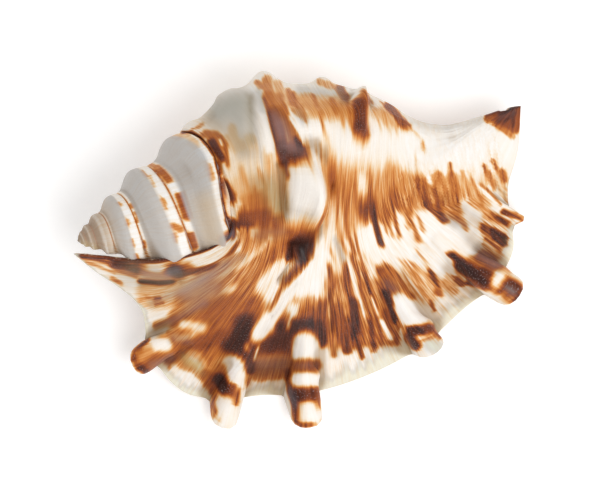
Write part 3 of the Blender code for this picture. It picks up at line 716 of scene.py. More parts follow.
        # the dark tail from 310, 240 down to 269, 310 is partly its own dark colour, partly painted
        # shadow in the crease
        (0.92, 7, 310, 240, 312, 250, 304, 262, 294, 274, 285, 283),
        (0.72, 4, 284, 284, 280, 290, 276, 300, 269, 310),
    ],
    "lowerLeft": [
        (0.6, 16, 200, 325, 228, 300), (0.6, 14, 214, 324, 238, 300), (0.68, 14, 200, 342, 228, 336),
        (0.66, 12, 256, 300, 249, 316), (0.9, 20, 244, 322, 240, 342), (0.88, 13, 228, 345, 252, 352),
        (0.86, 15, 268, 346, 286, 338), (0.84, 12, 280, 326, 287, 345), (0.55, 5, 263, 303, 256, 312),
        (0.05, 15, 270, 318, 259, 334), (0.5, 18, 262, 364, 282, 362), (0.5, 4, 262, 374, 276, 372),
        (0.86, 10, 250, 354, 250, 370), (0.15, 2.5, 258, 348, 254, 360), (0.3, 4, 246, 345, 248, 350),
        (0.66, 12, 184, 340, 206, 346), (0.34, 7, 178, 338, 190, 336), (0.14, 10, 184, 325, 202, 327),
        (0.52, 5, 168, 333, 190, 331), (0.6, 7, 155, 326, 175, 319),
    ],
    "leftWing": [
        (0.3, 14, 155, 290, 185, 288), (0.44, 22, 184, 300, 212, 289),
        (0.62, 3, 184, 318, 200, 306, 215, 300), (0.55, 4, 172, 322, 190, 313, 206, 301),
        (0.62, 10, 206, 311, 228, 300), (0.74, 3.5, 154, 299, 160, 298),
        (0.62, 2.5, 155, 305, 163, 303), (0.42, 3, 145, 297, 153, 299),
        (0.14, 12, 200, 258, 215, 252, 228, 248), (0.66, 5, 200, 270, 218, 264, 230, 254, 238, 243),
        (0.42, 8, 222, 263, 240, 256), (0.6, 2, 235, 281, 242, 270, 252, 256),
        (0.2, 5, 272, 239, 262, 247, 250, 258, 236, 270), (0.2, 6, 226, 291, 234, 287),
        (0.64, 8, 186, 266, 197, 272), (0.72, 6, 182, 274, 200, 270, 212, 267),
        (0.88, 9, 112, 263, 125, 266, 136, 270), (0.14, 13, 152, 266, 158, 268),
        (0.36, 7, 148, 276, 163, 277), (0.9, 13, 173, 270, 178, 272),
        (0.93, 5, 140, 281, 158, 283, 172, 282), (0.55, 5, 122, 271, 136, 276),
        (0.5, 5, 112, 279, 120, 283), (0.75, 4, 80, 257, 95, 259, 110, 263),
        (0.45, 3, 80, 260, 100, 267, 115, 273),
        (0.85, 2.5, 112, 255, 120, 254, 128, 257, 137, 264, 143, 259, 148, 256, 158, 256, 168, 260, 178,
         261, 184, 257, 190, 254, 200, 248, 214, 243),
    ],
    "fingers": [
        (0.58, 20, 147, 362, 178, 352), (0.42, 14, 184, 362, 202, 370), (0.33, 15, 193, 357, 201, 368),
        (0.2, 5, 192, 358, 200, 368), (0.62, 6, 150, 371, 168, 366), (0.82, 4, 133, 352, 148, 340),
        (0.36, 9, 139, 355, 152, 348), (0.04, 13, 158, 345, 166, 345), (0.9, 7, 138, 366, 146, 371),
        (0.72, 6, 134, 359, 138, 364), (0.62, 12, 207, 374, 212, 396), (0.66, 8, 210, 398, 213, 412),
        (0.94, 13, 219, 380, 224, 389), (0.04, 17, 233, 364, 237, 376), (0.06, 8, 240, 380, 241, 386),
        (0.74, 8, 234, 387, 236, 402), (0.05, 15, 225, 405, 228, 418), (0.3, 3, 212, 412, 218, 419),
        (0.6, 26, 303, 366, 306, 368), (0.04, 23, 304, 344, 306, 349), (0.04, 8, 297, 348, 296, 356),
        (0.62, 11, 296, 365, 316, 365), (0.74, 8, 288, 372, 290, 384), (0.04, 14, 298, 380, 312, 380),
        (0.84, 15, 298, 395, 316, 395), (0.84, 7, 290, 390, 295, 405, 296, 420),
        (0.72, 3.5, 319, 388, 319, 416), (0.05, 16, 306, 411, 309, 417), (0.76, 5, 297, 426, 315, 425),
    ],
}

spireMarks = [
    (0.3, 6, 172, 136, 181, 137), (0.28, 7, 188, 137, 196, 143),
    (0.8, 2, 184, 131, 193, 131, 201, 136, 211, 148, 217, 163, 220, 178, 222, 195, 225, 212, 229, 225),
    (0.62, 10, 180, 195, 184, 206, 187, 216), (0.58, 8, 158, 169, 164, 174, 169, 180),
    (0.62, 9, 191, 235, 194, 246), (0.45, 4, 150, 164, 158, 168), (0.04, 8, 172, 186, 179, 189),
    (0.05, 8, 187, 225, 191, 228), (0.38, 7, 208, 165, 212, 178), (0.28, 5, 190, 143, 200, 150),
    (0.03, 8, 200, 151, 210, 159), (0.4, 5, 162, 198, 166, 207), (0.45, 7, 173, 226, 180, 229),
    (0.4, 6, 174, 235, 176, 240), (0.4, 3, 142, 171, 147, 177), (0.3, 3, 150, 176, 154, 186),
    (0.02, 8, 160, 188, 165, 194), (0.02, 8, 171, 206, 176, 217), (0.02, 8, 182, 240, 185, 252),
    (0.45, 4, 131, 205, 133, 207), (0.45, 4, 135, 213, 137, 221), (0.5, 4, 144, 242, 145, 247),
    (0.42, 4, 127, 220, 128, 225), (0.4, 4, 132, 240, 134, 246), (0.5, 5, 136, 256, 138, 261),
    (0.4, 3, 118, 203, 121, 205), (0.02, 7, 125, 209, 132, 217), (0.02, 7, 134, 228, 139, 245),
]

# soft tints over the markings: colour, strength, width, points; some of them are painted shade and
# painted highlights, named where they stand
tintColours = {
    "pinkBeige": (0.27, 0.18, 0.12),
    "grey": (0.46, 0.45, 0.445), "stoneShade": (0.42, 0.41, 0.34), "olive": (0.40, 0.31, 0.13),
    "mauve": (0.33, 0.20, 0.19), "slate": (0.30, 0.31, 0.38), "paleGreen": (0.74, 0.76, 0.62),
    "sand": (0.66, 0.47, 0.26), "yellow": (0.70, 0.52, 0.20),
}
wingTints = [
    # painted shade: the stone tints left of the first knob and the olive one at 250, 96-140 on its left
    # flank, and the olive ones at 262-281, 184-210 left of the second knob
    ("stoneShade", 0.75, 26, 218, 112, 238, 104), ("stoneShade", 0.5, 14, 240, 120, 244, 150),
    ("olive", 0.45, 8, 250, 96, 252, 140), ("sand", 0.35, 16, 226, 130, 240, 140),
    ("stoneShade", 0.4, 6, 259, 92, 264, 110), ("olive", 0.35, 18, 274, 184, 281, 210),
    ("olive", 0.4, 20, 262, 185, 278, 205), ("sand", 0.25, 10, 298, 214, 312, 216),
    ("mauve", 0.65, 12, 274, 116, 280, 134), ("mauve", 0.6, 13, 282, 124, 291, 142),
    ("mauve", 0.55, 12, 282, 146, 302, 152), ("slate", 0.4, 6, 284, 160, 287, 174),
    # painted shade: the grey tints at 300-335, 90-94 and along the canal at 412-480, 120-130
    ("mauve", 0.4, 8, 298, 112, 304, 120), ("grey", 0.35, 8, 300, 90, 335, 94),
    ("olive", 0.4, 8, 340, 90, 344, 100), ("grey", 0.12, 7, 412, 122, 445, 130, 480, 120),
    # painted highlights: the slate tints in the pit below the second knob
    ("slate", 0.75, 3, 303, 247, 300, 256, 297, 262), ("slate", 0.6, 3, 313, 246, 310, 254, 303, 262),
    ("slate", 0.5, 9, 220, 241, 232, 235), ("mauve", 0.4, 12, 258, 234, 282, 232),
    ("mauve", 0.45, 5, 336, 240, 344, 262), ("mauve", 0.5, 3, 379, 236, 382, 244),
    ("mauve", 0.45, 8, 446, 218, 466, 226), ("mauve", 0.75, 13, 480, 253, 496, 264),
    ("grey", 0.5, 8, 509, 289, 513, 293), ("mauve", 0.35, 8, 500, 117, 514, 112),
    ("olive", 0.35, 10, 508, 242, 514, 254), ("mauve", 0.5, 20, 190, 296, 214, 290),
    ("mauve", 0.5, 9, 156, 330, 184, 314, 204, 304), ("yellow", 0.5, 8, 184, 356, 198, 366),
    ("mauve", 0.35, 16, 205, 280, 225, 272), ("grey", 0.35, 10, 222, 266, 240, 258),
    ("sand", 0.4, 26, 132, 272, 192, 284), ("slate", 0.35, 8, 152, 303, 182, 291, 214, 272),
    # a painted highlight: the slate tint along the dark tail at 285-308, 243-281
    ("slate", 0.45, 4, 308, 243, 304, 257, 292, 272, 285, 281), ("mauve", 0.5, 9, 146, 275, 166, 277),
    ("slate", 0.35, 8, 170, 272, 178, 270), ("olive", 0.4, 9, 152, 332, 166, 326),
    ("mauve", 0.45, 10, 174, 338, 188, 340), ("mauve", 0.5, 8, 152, 364, 172, 358),
    ("yellow", 0.35, 10, 188, 364, 202, 372), ("mauve", 0.55, 18, 258, 366, 282, 364),
    ("mauve", 0.4, 10, 386, 282, 396, 290), ("mauve", 0.4, 9, 298, 366, 314, 366),
    ("slate", 0.4, 8, 290, 390, 296, 406), ("paleGreen", 0.8, 10, 430, 344, 438, 348),
]
spireTints = [
    ("sand", 0.55, 22, 206, 204, 212, 238), ("slate", 0.3, 4, 219, 180, 221, 195),
    ("yellow", 0.35, 8, 84, 246, 96, 250),
]

# where the streaks are weaker and the markings softer: share that is left, width, points
calmAreas = [
    (0.4, 70, 175, 330, 250, 335, 300, 368), (0.4, 40, 150, 362, 190, 350),
    (0.45, 30, 215, 375, 230, 418), (0.3, 46, 232, 110, 244, 185), (0.25, 40, 308, 180, 310, 216),
    (0.5, 22, 272, 92, 286, 160), (0.5, 22, 304, 345, 306, 424), (0.55, 26, 300, 100, 345, 104),
    (0.6, 60, 120, 268, 200, 290), (0.45, 24, 500, 118, 516, 116), (0.5, 24, 420, 315, 436, 340),
    (0.5, 26, 484, 276, 512, 290), (0.5, 30, 250, 215, 290, 232), (0.6, 30, 440, 176, 500, 184),
]

paint = {
    "softShare": 0.13, "softLeast": 0.7, "tintSoft": 0.5,    # how soft the edge of a stroke is
    "hollowShadePasses": 40, "hollowShadeDepth": (0.03, 0.6),    # painted shade in the hollows: where it starts and is darkest, mm
}

# the skin: rows run from 0 at its hidden start over 8 at the wing's root to 10 at the lip
skinLook = {
    "white": 0.09,    # the tone of the ground
    "reach": 3.5, "reachRamp": 2.6, "rampRows": (7.4, 8.2),    # how far the ends are ragged, pixels
    "jitter": [(0.6, 2.1, 0.0, 3), (0.5, 0.95, 9.5, 4)],    # strength, width, place, seed
    # past the wing's root the markings are drawn out, at the right some rows earlier
    "blur": 0.85, "blurFrom": (7.7, 8.3), "blurEarlier": 1.2, "blurTo": (9.2, 9.5),
    # faint flames where the last whorl turns under: strength, width, times to a row, lean, seed
    "flames": [(1.0, 9.0, 2.2, 0.05, 21), (0.6, 2.5, 2.0, 0.0, 22)], "flameRange": (0.05, 0.75),
    "flameTone": 0.55, "underTone": 0.12, "underRows": (4.2, 5.0),
    # the lip's pale margin, in millimetres
    "margin": [("suture", 1.4), ("finger2", 2.0), ("gap2", 3.8), ("finger3", 2.6), ("gap3", 4.2),
               ("finger4", 4.0), ("gap4", 6.0), ("finger5", 4.6), ("gap5", 4.4), ("finger6", 2.6),
               ("gap6", 4.6), ("finger7", 1.2), ("notch", 1.0), ("canalSide", 0.1), ("canal", 0.1)],
    "marginRipples": [(0.3, 6.0, 0.0, 41), (0.35, 1.1, 0.0, 42)],    # strength, width, place, seed
    "marginEdge": (0.45, 1.35),    # where it starts to fade and is gone, against its width
    "marginTone": 0.12, "marginTint": (0.76, 0.73, 0.58, 0.7),
    "fingerWidth": 0.62, "fingerEdge": 6,    # how wide and how square the fingers' gaps in it are
    "flangeShadow": (0.65, 1.3), "flangeShadowRows": (7.6, 8.0), "flangeShadowTone": 0.80,    # painted shadow: a dark line under the wing's free rim beside the spire
    "streaky": (0.55, 0.45), "streakyRows": (7.2, 8.3), "ragged": (0.07, 0.70),    # least, and more
}

# in the right half the streaks leave the last whorl steeply, and turn at a level of the picture,
# which falls towards the canal; all in pixels but the row, the fall and the lean
streams = {"fromRow": 5.0, "level": 206.0, "levelFrom": 450.0, "levelFall": 0.35, "near": 1.5,
           "lean": 0.2, "from": 385.0, "to": 405.0, "before": 40.0}

# the spire: places on a whorl are shares of it, from one suture to the next, while seamFrom and
# earlyTo are millimetres from the apex
spireLook = {
    "ground": 0.16, "band": 0.05, "dash": 0.38, "cover": 0.9,    # tones, and how far they cover
    "dashesPerTurn": 11.0, "dashSeed": 31, "dashRange": (0.05, 0.35), "underside": (-0.1, 0.1),
    "keel": (0.68, 0.78), "keelEnd": (0.97, 1.0), "start": (0.05, 0.10), "startWider": 0.09,
    "seamSharpness": 55.0, "seamFrom": (1.0, 3.0), "seamTone": 0.62, "seamTo": 0.5,
    "earlyTo": (5.0, 14.0), "earlyRidge": (0.56, 0.09),
    "earlyTone": (0.26, -0.18, 0.3), "earlyTint": (0.82, -0.45, -0.3),    # ground, ridge, seam
    # the first value here is the strength of the painted shade, a grey over each whorl's ramp between
    # its bands
    "rampShadeTint": 0.8, "tintTo": (0.0, 0.02), "insideFrom": (0.16, 0.22), "insideTone": 0.14,
    "ragged": 0.22,
}


def strokeCover(px, py, width, points, share):    # 1 inside a stroke, soft at its edge
    near = strokeAway(px, py, points)
    soft = share * width + paint["softLeast"]
    return 1.0 - smoothStep(near, 0.5 * width - soft, 0.5 * width + soft)


def painted(tone, px, py, strokes):
    for darkness, width, *points in strokes:
        tone = tone + (darkness - tone) * strokeCover(px, py, width, points, paint["softShare"])
    return tone


def tinted(tint, px, py, strokes):
    for name, strength, width, *points in strokes:
        cover = (strokeCover(px, py, width, points, paint["tintSoft"]) * strength)[..., None]
        target = np.array(tintColours[name] + (1.0,))
        tint = tint * (1.0 - cover) + target * cover
    return tint


def calmShare(px, py):
    calm = np.ones_like(px)
    for share, width, *points in calmAreas:
        calm = calm + (share - calm) * strokeCover(px, py, width, points, paint["tintSoft"])
    return calm


def softened(tone):    # the mean of every point and its neighbours
    wide = np.pad(tone, 1, mode="edge")
    wide = wide[:-2] + 2 * wide[1:-1] + wide[2:]
    return (wide[:, :-2] + 2 * wide[:, 1:-1] + wide[:, 2:]) / 16.0


def hollowShadeShare(surface):    # painted shade: 1 deep in a hollow beside a ridge or a knob, 0 on open ground
    smooth = surface
    for _ in range(paint["hollowShadePasses"]):
        smooth = np.stack([softened(smooth[:, :, axis]) for axis in range(3)], axis=2)
    depth = ((smooth - surface) * gridNormals(surface)).sum(axis=2)
    return smoothStep(depth, *paint["hollowShadeDepth"])


def drawnOut(tone):    # drags the markings along the growth, so that their ends are ragged
    wide = np.pad(tone, ((0, 0), (2, 2)), mode="edge")
    middle = 2 * wide[:, 1:-3] + 2 * wide[:, 2:-2] + 2 * wide[:, 3:-1]
    return (wide[:, :-4] + middle + wide[:, 4:]) / 8.0


def fingerShare(columns):    # 1 on the fingers, 0 between them
    total = np.zeros(len(columns))
    for name, (_, width, _, _) in fingers.items():
        off = (columns - columnOf[name]) / (skinLook["fingerWidth"] * width)
        total = np.maximum(total, np.exp(-np.abs(off) ** skinLook["fingerEdge"]))
    return total


def streamPlaces(px, py, u, rows):    # the place along the lip that each point's streaks lead to
    flow = streams
    seen = rows * np.ones_like(u) > flow["fromRow"]
    over = flow["level"] - flow["levelFall"] * np.maximum(px - flow["levelFrom"], 0.0) - py
    near = seen & (np.abs(over) < flow["near"]) & (px > flow["from"] - flow["before"])
    order = np.argsort(px[near])
    below = np.interp(px + flow["lean"] * over, px[near][order], u[near][order])
    share = smoothStep(px, flow["from"], flow["to"]) * (over > 0) * seen
    return u * (1 - share) + below * share, share


def ripples(u, kinds):    # random values along the lip
    return sum(strength * lumps(u / width, 0 * u + place, seed)
               for strength, width, place, seed in kinds)


def raggedPlaces(px, py, u, rows, calm):    # the pixel that each point is painted by
    look = skinLook
    alongX, alongY = np.gradient(px, axis=1), np.gradient(py, axis=1)
    length = np.maximum(np.hypot(alongX, alongY), 1e-6)
    stream, steep = streamPlaces(px, py, u, rows)
    alongX = alongX / length * (1 - steep) + streams["lean"] * steep
    alongY = alongY / length * (1 - steep) + steep
    ramp = smoothStep(rows, *look["rampRows"])
    reach = look["reachRamp"] * (1 - ramp) + look["reach"] * ramp
    reach = calm * ripples(stream, look["jitter"]) * reach
    return px + reach * alongX, py + reach * alongY, stream


def blurShare(columns, rows):    # how far the markings are drawn out
    look = skinLook
    right = smoothStep(columns[:, None], columnOf["finger3"], columnOf["gap3"])
    first, full = (row - look["blurEarlier"] * right for row in look["blurFrom"])
    return look["blur"] * smoothStep(rows, first, full) * (1 - smoothStep(rows, *look["blurTo"]))


def underTone(u, rows):    # tone where the last whorl turns under
    look = skinLook
    flames = sum(strength * lumps(u / width, rows * perRow + lean * u, seed)
                 for strength, width, perRow, lean, seed in look["flames"])
    flames = look["flameTone"] * smoothStep(flames, *look["flameRange"])
    return np.clip(look["underTone"] + flames, 0, 1)


def marginShare(outer, columns, u):    # 1 on the pale margin of the lip, between the fingers
    look = skinLook
    steps = np.linalg.norm(np.diff(outer, axis=1), axis=2)
    away = np.cumsum(steps[:, ::-1], axis=1)[:, ::-1]
    away = np.concatenate([away, np.zeros((len(columns), 1))], axis=1)
    width = np.interp(u, *zip(*[(columnOf[name], size) for name, size in look["margin"]]))
    width *= 1.0 + ripples(u, look["marginRipples"])
    first, full = (share * width for share in look["marginEdge"])
    return (1 - smoothStep(away, first, full)) * (1 - fingerShare(columns))[:, None]


def skinPaint(outer, columns, rows):    # tone, tint, raggedness and stream of each point
    look, rows = skinLook, rows[None, :]
    px, py = toPhoto(outer)
    u = columns[:, None] * np.ones_like(px)
    calm = calmShare(px, py)
    px, py, stream = raggedPlaces(px, py, u, rows, calm)
    tone = np.full(px.shape, look["white"])
    for strokes in wingMarks.values():
        tone = painted(tone, px, py, strokes)
    blur = blurShare(columns, rows)
    tone = tone * (1 - blur) + drawnOut(tone) * blur
    tone = tone * calm + softened(softened(tone)) * (1 - calm)
    tint = tinted(np.zeros(px.shape + (4,)), px, py, wingTints)
    under = 1.0 - smoothStep(rows, *look["underRows"]) * np.ones_like(px)
    tone = tone * (1 - under) + underTone(u, rows) * under
    tint[..., 3] *= 1 - under
    margin = marginShare(outer, columns, u)
    tone = tone * (1 - margin) + look["marginTone"] * margin
    margin = margin[..., None]
    tint = tint * (1 - margin) + np.array(look["marginTint"]) * margin
    # painted shadow: a dark line under the wing's free rim beside the spire
    flangeShadow = (1 - smoothStep(u, *look["flangeShadow"])) * smoothStep(rows, *look["flangeShadowRows"])
    tone = tone + (look["flangeShadowTone"] - tone) * flangeShadow
    least, more = look["streaky"]
    streaky = least + more * smoothStep(rows, *look["streakyRows"])
    least, more = look["ragged"]    # the middle tones are the most ragged
    ragged = (least + more * 4.0 * tone * (1 - tone)) * streaky * calm
    return tone, tint, ragged, stream


def earlyShade(kind, ridge, seam):    # of the first whorls
    ground, onRidge, onSeam = spireLook[kind]
    return ground + onRidge * ridge + onSeam * seam


def corePaint(points, along, whorls, angles):    # tone, tint, raggedness and how far it is lining
    look = spireLook
    px, py = toPhoto(points)
    whorl = np.floor(whorls)
    share, turn = whorls - whorl, angles / 360.0 + whorl
    dash = lumps(turn * look["dashesPerTurn"], 0 * turn, look["dashSeed"])
    dash = smoothStep(dash, *look["dashRange"])
    dash = dash * (1 - smoothStep(np.cos(np.radians(angles)), *look["underside"]))
    keel = smoothStep(share, *look["keel"]) * (1 - smoothStep(share, *look["keelEnd"]))
    wider = look["startWider"] * (whorl == -1)    # after the suture, on the last whorl
    start = 1 - smoothStep(share - wider, *look["start"])
    band = np.maximum(keel, start)
    tone = look["ground"] + 0 * px
    tone = tone + (look["band"] + look["dash"] * dash - tone) * band * look["cover"]
    tone = painted(tone, px, py, wingMarks["ramp"] + spireMarks)
    seam = np.exp(-(np.minimum(share, 1 - share) * look["seamSharpness"]) ** 2)
    seam = seam * smoothStep(along, *look["seamFrom"])
    tone = tone + (look["seamTone"] - tone) * seam * (whorls < look["seamTo"])
    early = 1 - smoothStep(along, *look["earlyTo"])
    middle, width = look["earlyRidge"]
    ridge = np.exp(-((share - middle) / width) ** 2)
    tone = tone * (1 - early) + earlyShade("earlyTone", ridge, seam) * early
    # painted shade: a grey over each whorl's ramp between its bands, not on the first whorls near the
    # apex
    tint = np.zeros(px.shape + (4,))
    tint[..., :3] = tintColours["grey"]
    tint[..., 3] = look["rampShadeTint"] * (1 - band) * (1 - early)
    beige = (early * earlyShade("earlyTint", ridge, seam))[..., None]
    tint = tint * (1 - beige) + np.array(tintColours["pinkBeige"] + (1.0,)) * beige
    tint = tinted(tint, px, py, spireTints)
    tint[..., 3] *= 1 - smoothStep(whorls, *look["tintTo"])
    inside = smoothStep(whorls, *look["insideFrom"])
    tone = tone * (1 - inside) + look["insideTone"] * inside
    return tone, tint, look["ragged"] + 0 * px, inside


def setValues(piece, name, values):    # one number or colour for each point of the grid
    kind = "FLOAT_COLOR" if values.ndim == 3 else "FLOAT"
    layer = piece.data.attributes.new(name, kind, "POINT")
    key = "color" if values.ndim == 3 else "value"
    order = (1, 0, 2) if values.ndim == 3 else (1, 0)
    layer.data.foreach_set(key, values.transpose(order).ravel().astype(np.float32))


def setGrowthMap(piece, u, v):    # the UV map: across the growth, and along it, in centimetres
    corner = np.zeros(len(piece.data.loops), int)
    piece.data.loops.foreach_get("vertex_index", corner)
    flat = np.stack([u.T.ravel(), v.T.ravel()], axis=1)[corner] * mapUnit
    piece.data.uv_layers[0].name = "growth"
    piece.data.uv_layers[0].data.foreach_set("uv", flat.ravel())


def setLayers(piece, layers):    # the values that the material reads
    for name, values in layers.items():
        setValues(piece, name, values)


# the shell's surface; its noises have how often to a centimetre across and along the growth,
# detail and place
shading = {
    "noises": {
        "broad": (4.5, 0.55, 2.0, 0.0), "fine": (14.0, 0.9, 3.0, 7.0), "hair": (38.0, 1.6, 2.0, 3.0),
        "speck": (30.0, 30.0, 2.0, 2.0), "lining": (0.35, 0.35, 2.0, 11.0),
        "growthLines": (1.2, 26.0, 3.0, 5.0), "grain": (60.0, 60.0, 2.0, 1.0),
    },
    "noiseRoughness": 0.55,
    "streaks": {"broad": 0.7, "fine": 1.5, "hair": 0.8}, "streaksMiddle": 1.5, "streaksLeast": -0.26,
    "tones": [(0.0, (0.90, 0.87, 0.835)), (0.12, (0.86, 0.76, 0.64)), (0.23, (0.80, 0.56, 0.32)),
              (0.35, (0.71, 0.33, 0.10)), (0.48, (0.55, 0.175, 0.029)), (0.62, (0.34, 0.078, 0.013)),
              (0.77, (0.160, 0.034, 0.010)), (0.91, (0.050, 0.013, 0.008)),
              (1.0, (0.020, 0.008, 0.007))],
    # a fine pale speckle over the dark areas
    "speckRange": (0.56, 0.70), "speckTones": (0.50, 0.85), "speckMost": 0.36,
    "speckColour": (0.50, 0.40, 0.40, 1.0),
    # the smooth lining of the mouth: cream, going to a warm tan deep inside
    "lining": [(0.0, (0.80, 0.68, 0.52)), (1.0, (0.62, 0.34, 0.20))],
    "hollowShade": (0.56, 0.47, 0.38, 1.0),    # painted shade, darker in the hollows beside the ridges and knobs
    # fine growth lines across the streaks, and the grain of the worn layer
    "bumps": {"growthLines": 0.6, "fine": 0.8, "grain": 0.35}, "liningBumps": 0.1,
    "bumpStrength": 0.5, "bumpDistance": 0.0005,
    "roughness": 0.30, "grainRoughness": 0.25, "liningSmoothness": 0.22, "specular": 0.18,
}


def shellMaterial():
    look = shading
    material = bpy.data.materials.new("conchShell")
    material.use_nodes = True
    nodes, links = material.node_tree.nodes, material.node_tree.links
    surface = nodes["Principled BSDF"]

    def node(kind, **settings):
        made = nodes.new(kind)
        for key, value in settings.items():
            setattr(made, key, value)
        return made

    def feed(made, socket, value):    # a link, or a constant
        if isinstance(value, bpy.types.NodeSocket):
            links.new(value, made.inputs[socket])
        else:
            made.inputs[socket].default_value = value

    def maths(operation, first, second, clamp=False):
        made = node("ShaderNodeMath", operation=operation, use_clamp=clamp)
        feed(made, 0, first)
        feed(made, 1, second)
        return made.outputs[0]

    def plus(first, second, clamp=False):
        return maths("ADD", first, second, clamp)

    def times(first, second):
        return maths("MULTIPLY", first, second)

    def read(name, output="Fac"):
        return node("ShaderNodeAttribute", attribute_name=name).outputs[output]

    def noiseAlong(across, along, detail, place):
        stretched = node("ShaderNodeMapping")
        feed(stretched, "Scale", (across, along, 1.0))
        feed(stretched, "Location", (place, place, place))
        feed(stretched, "Vector", growthMap.outputs[0])
        noise = node("ShaderNodeTexNoise")
        feed(noise, "Scale", 1.0)
        feed(noise, "Detail", detail)
        feed(noise, "Roughness", look["noiseRoughness"])
        feed(noise, "Vector", stretched.outputs[0])
        return noise.outputs["Fac"]

    def weighed(weights):    # noises added up
        parts = [times(noises[name], weight) for name, weight in weights.items()]
        total = parts[0]
        for part in parts[1:]:
            total = plus(total, part)
        return total

    def eased(value, low, high, most=1.0):    # from 0 at low to most at high
        made = node("ShaderNodeMapRange", interpolation_type="SMOOTHSTEP")
        feed(made, "Value", value)
        feed(made, "From Min", low)
        feed(made, "From Max", high)
        feed(made, "To Max", most)
        return made.outputs[0]

    def coloured(value, stops):
        ramp = node("ShaderNodeValToRGB")
        for i, (place, colour) in enumerate(stops):
            stop = ramp.color_ramp.elements[i] if i < 2 else ramp.color_ramp.elements.new(place)
            stop.position = place
            stop.color = colour + (1.0,)
        feed(ramp, "Fac", value)
        return ramp.outputs["Color"]

    def mixed(share, first, second, blend="MIX"):    # the second colour over the first
        made = node("ShaderNodeMix", data_type="RGBA", blend_type=blend)
        feed(made, "Factor", share)
        feed(made, 6, first)
        feed(made, 7, second)
        return made.outputs[2]

    growthMap = node("ShaderNodeUVMap", uv_map="growth")
    noises = {name: noiseAlong(*values) for name, values in look["noises"].items()}
    inside = read("inside")

    streaks = maths("SUBTRACT", weighed(look["streaks"]), look["streaksMiddle"])
    streaks = maths("MAXIMUM", streaks, look["streaksLeast"])
    tone = plus(read("tone"), times(streaks, read("ragged")), clamp=True)
    speck = eased(noises["speck"], *look["speckRange"])
    speck = times(speck, eased(tone, *look["speckTones"], look["speckMost"]))
    colour = mixed(speck, coloured(tone, look["tones"]), look["speckColour"])
    colour = mixed(read("tint", "Alpha"), colour, read("tint", "Color"))
    colour = mixed(inside, colour, coloured(noises["lining"], look["lining"]))
    # painted shade in the hollows beside the ridges and knobs
    colour = mixed(read("hollowShade"), colour, look["hollowShade"], "MULTIPLY")
    feed(surface, "Base Color", colour)

    outside = maths("SUBTRACT", 1.0, inside)
    shown = plus(times(outside, 1.0 - look["liningBumps"]), look["liningBumps"])
    bump = node("ShaderNodeBump")
    feed(bump, "Strength", look["bumpStrength"])
    feed(bump, "Distance", look["bumpDistance"])
    feed(bump, "Height", times(weighed(look["bumps"]), shown))
    feed(surface, "Normal", bump.outputs[0])

    rough = plus(times(noises["grain"], look["grainRoughness"]), look["roughness"])
    rough = maths("SUBTRACT", rough, times(inside, look["liningSmoothness"]))
    feed(surface, "Roughness", rough)
    surface.inputs["Specular IOR Level"].default_value = look["specular"]
    return material


print("scene: growing the last whorl and the wing")
(outer, inner), columns, rows = skinGrids()
columnStep, rowStep = skinMesh["innerColumnStep"], skinMesh["innerRowStep"]
outerPiece = gridPiece("outerSkin", outer)
innerPiece = gridPiece("innerSkin", inner[::columnStep, ::rowStep], flip=True)
tone, tint, ragged, stream = skinPaint(outer, columns, rows)
stretch = np.linalg.norm(np.diff(outer, axis=1), axis=2).mean(axis=0)
grown = np.concatenate([[0.0], np.cumsum(stretch)])[None, :] + 0 * tone
# painted shade in the hollows beside the ridges and knobs, not on the inner side
hollowShade = hollowShadeShare(outer)
for piece, across, along, isInside in ((outerPiece, 1, 1, 0.0),
                                       (innerPiece, columnStep, rowStep, 1.0)):
    part = (slice(None, None, across), slice(None, None, along))
    setLayers(piece, {"tone": tone[part], "tint": tint[part], "ragged": ragged[part],
                      "inside": isInside + 0 * tone[part], "hollowShade": hollowShade[part] * (1 - isInside)})
    setGrowthMap(piece, stream[part], grown[part])
skin = closed(joined([outerPiece, innerPiece]), skinMesh["slitSides"])

print("scene: growing the spire and the columella")
points, along, whorls, angles = coreGrid()
core = gridPiece("core", points)
tone, tint, ragged, isInside = corePaint(points, along, whorls, angles)
# painted shade in the spire's hollows, not on the lining
setLayers(core, {"tone": tone, "tint": tint, "ragged": ragged, "inside": isInside,
                 "hollowShade": hollowShadeShare(points) * (1 - isInside)})
setGrowthMap(core, np.radians(angles) * coreMesh["mapRadius"] + coreMesh["mapPlace"], along)
shell = joined([skin, closed(core, coreMesh["endSides"])])
shell.name = shell.data.name = "spiderConch"

print("scene: laying it where the CAD shell lies")
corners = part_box("shell")
places = np.zeros(len(shell.data.vertices) * 3)
shell.data.vertices.foreach_get("co", places)
places = places.reshape(-1, 3)
middle = 0.5 * (places.min(axis=0) + places.max(axis=0))
shiftX = 0.5 * (corners[0].x + corners[1].x) - middle[0]
shiftY = 0.5 * (corners[0].y + corners[1].y) - middle[1]
places[:, 0] += shiftX
places[:, 1] += shiftY
shell.data.vertices.foreach_set("co", places.ravel())
shell.data.update()
bpy.ops.object.select_all(action="DESELECT")
shell.select_set(True)
bpy.context.view_layer.objects.active = shell
bpy.ops.object.shade_smooth()
shell.data.materials.clear()
shell.data.materials.append(shellMaterial())

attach(shell, "root")
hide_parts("shell")

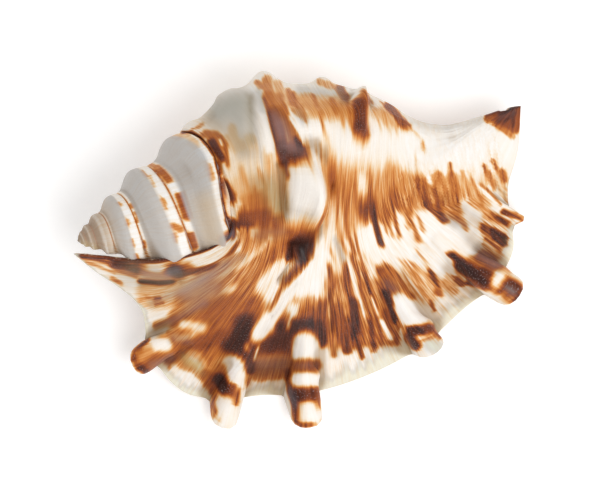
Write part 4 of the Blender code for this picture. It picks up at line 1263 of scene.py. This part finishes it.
# the surroundings: lengths in metres, the camera's sensor in millimetres
studio = {
    "floorSize": 6.0, "floorColour": (0.94, 0.94, 0.94, 1.0), "floorRoughness": 0.8,
    "floorGlow": 0.22, "worldStrength": 0.70, "white": (1.0, 1.0, 1.0, 1.0),
    "lightPlace": (0.26, -0.34, 0.95), "lightSize": 0.65, "lightPower": 5.6,
    "sensor": 36.0, "seenTo": 100.0,
}

print("scene: floor, lights and camera")
bpy.context.scene.view_settings.view_transform = "Standard"

bpy.ops.object.select_all(action="DESELECT")
bpy.ops.mesh.primitive_plane_add(size=studio["floorSize"], location=(0.0, 0.0, 0.0))
floor = bpy.context.object
floor.name = "floor"
paper = bpy.data.materials.new("palePaper")
paper.use_nodes = True
paperSockets = paper.node_tree.nodes["Principled BSDF"].inputs
paperSockets["Base Color"].default_value = studio["floorColour"]
paperSockets["Roughness"].default_value = studio["floorRoughness"]
paperSockets["Emission Color"].default_value = studio["white"]
paperSockets["Emission Strength"].default_value = studio["floorGlow"]
floor.data.materials.append(paper)

world = bpy.data.worlds.new("studio")
bpy.context.scene.world = world
world.use_nodes = True
world.node_tree.nodes["Background"].inputs["Color"].default_value = studio["white"]
world.node_tree.nodes["Background"].inputs["Strength"].default_value = studio["worldStrength"]

bpy.ops.object.light_add(type="AREA", location=studio["lightPlace"])
keyLight = bpy.context.object
keyLight.data.size = studio["lightSize"]
keyLight.data.energy = studio["lightPower"]
keyLight.rotation_euler = (-keyLight.location).to_track_quat("-Z", "Y").to_euler()

centre = photoPoint(photo["width"] / 2, photo["height"] / 2)
bpy.ops.object.camera_add(location=(centre[0] * mm + shiftX, centre[1] * mm + shiftY,
                                    photo["cameraHeight"] * mm),
                          rotation=(0.0, 0.0, -photo["turned"]))
camera = bpy.context.object
camera.data.sensor_width = studio["sensor"]
seen = photo["width"] * photo["scale"]
camera.data.lens = studio["sensor"] * (photo["cameraHeight"] - photo["middleHeight"]) / seen
camera.data.clip_end = studio["seenTo"]
bpy.context.scene.camera = camera
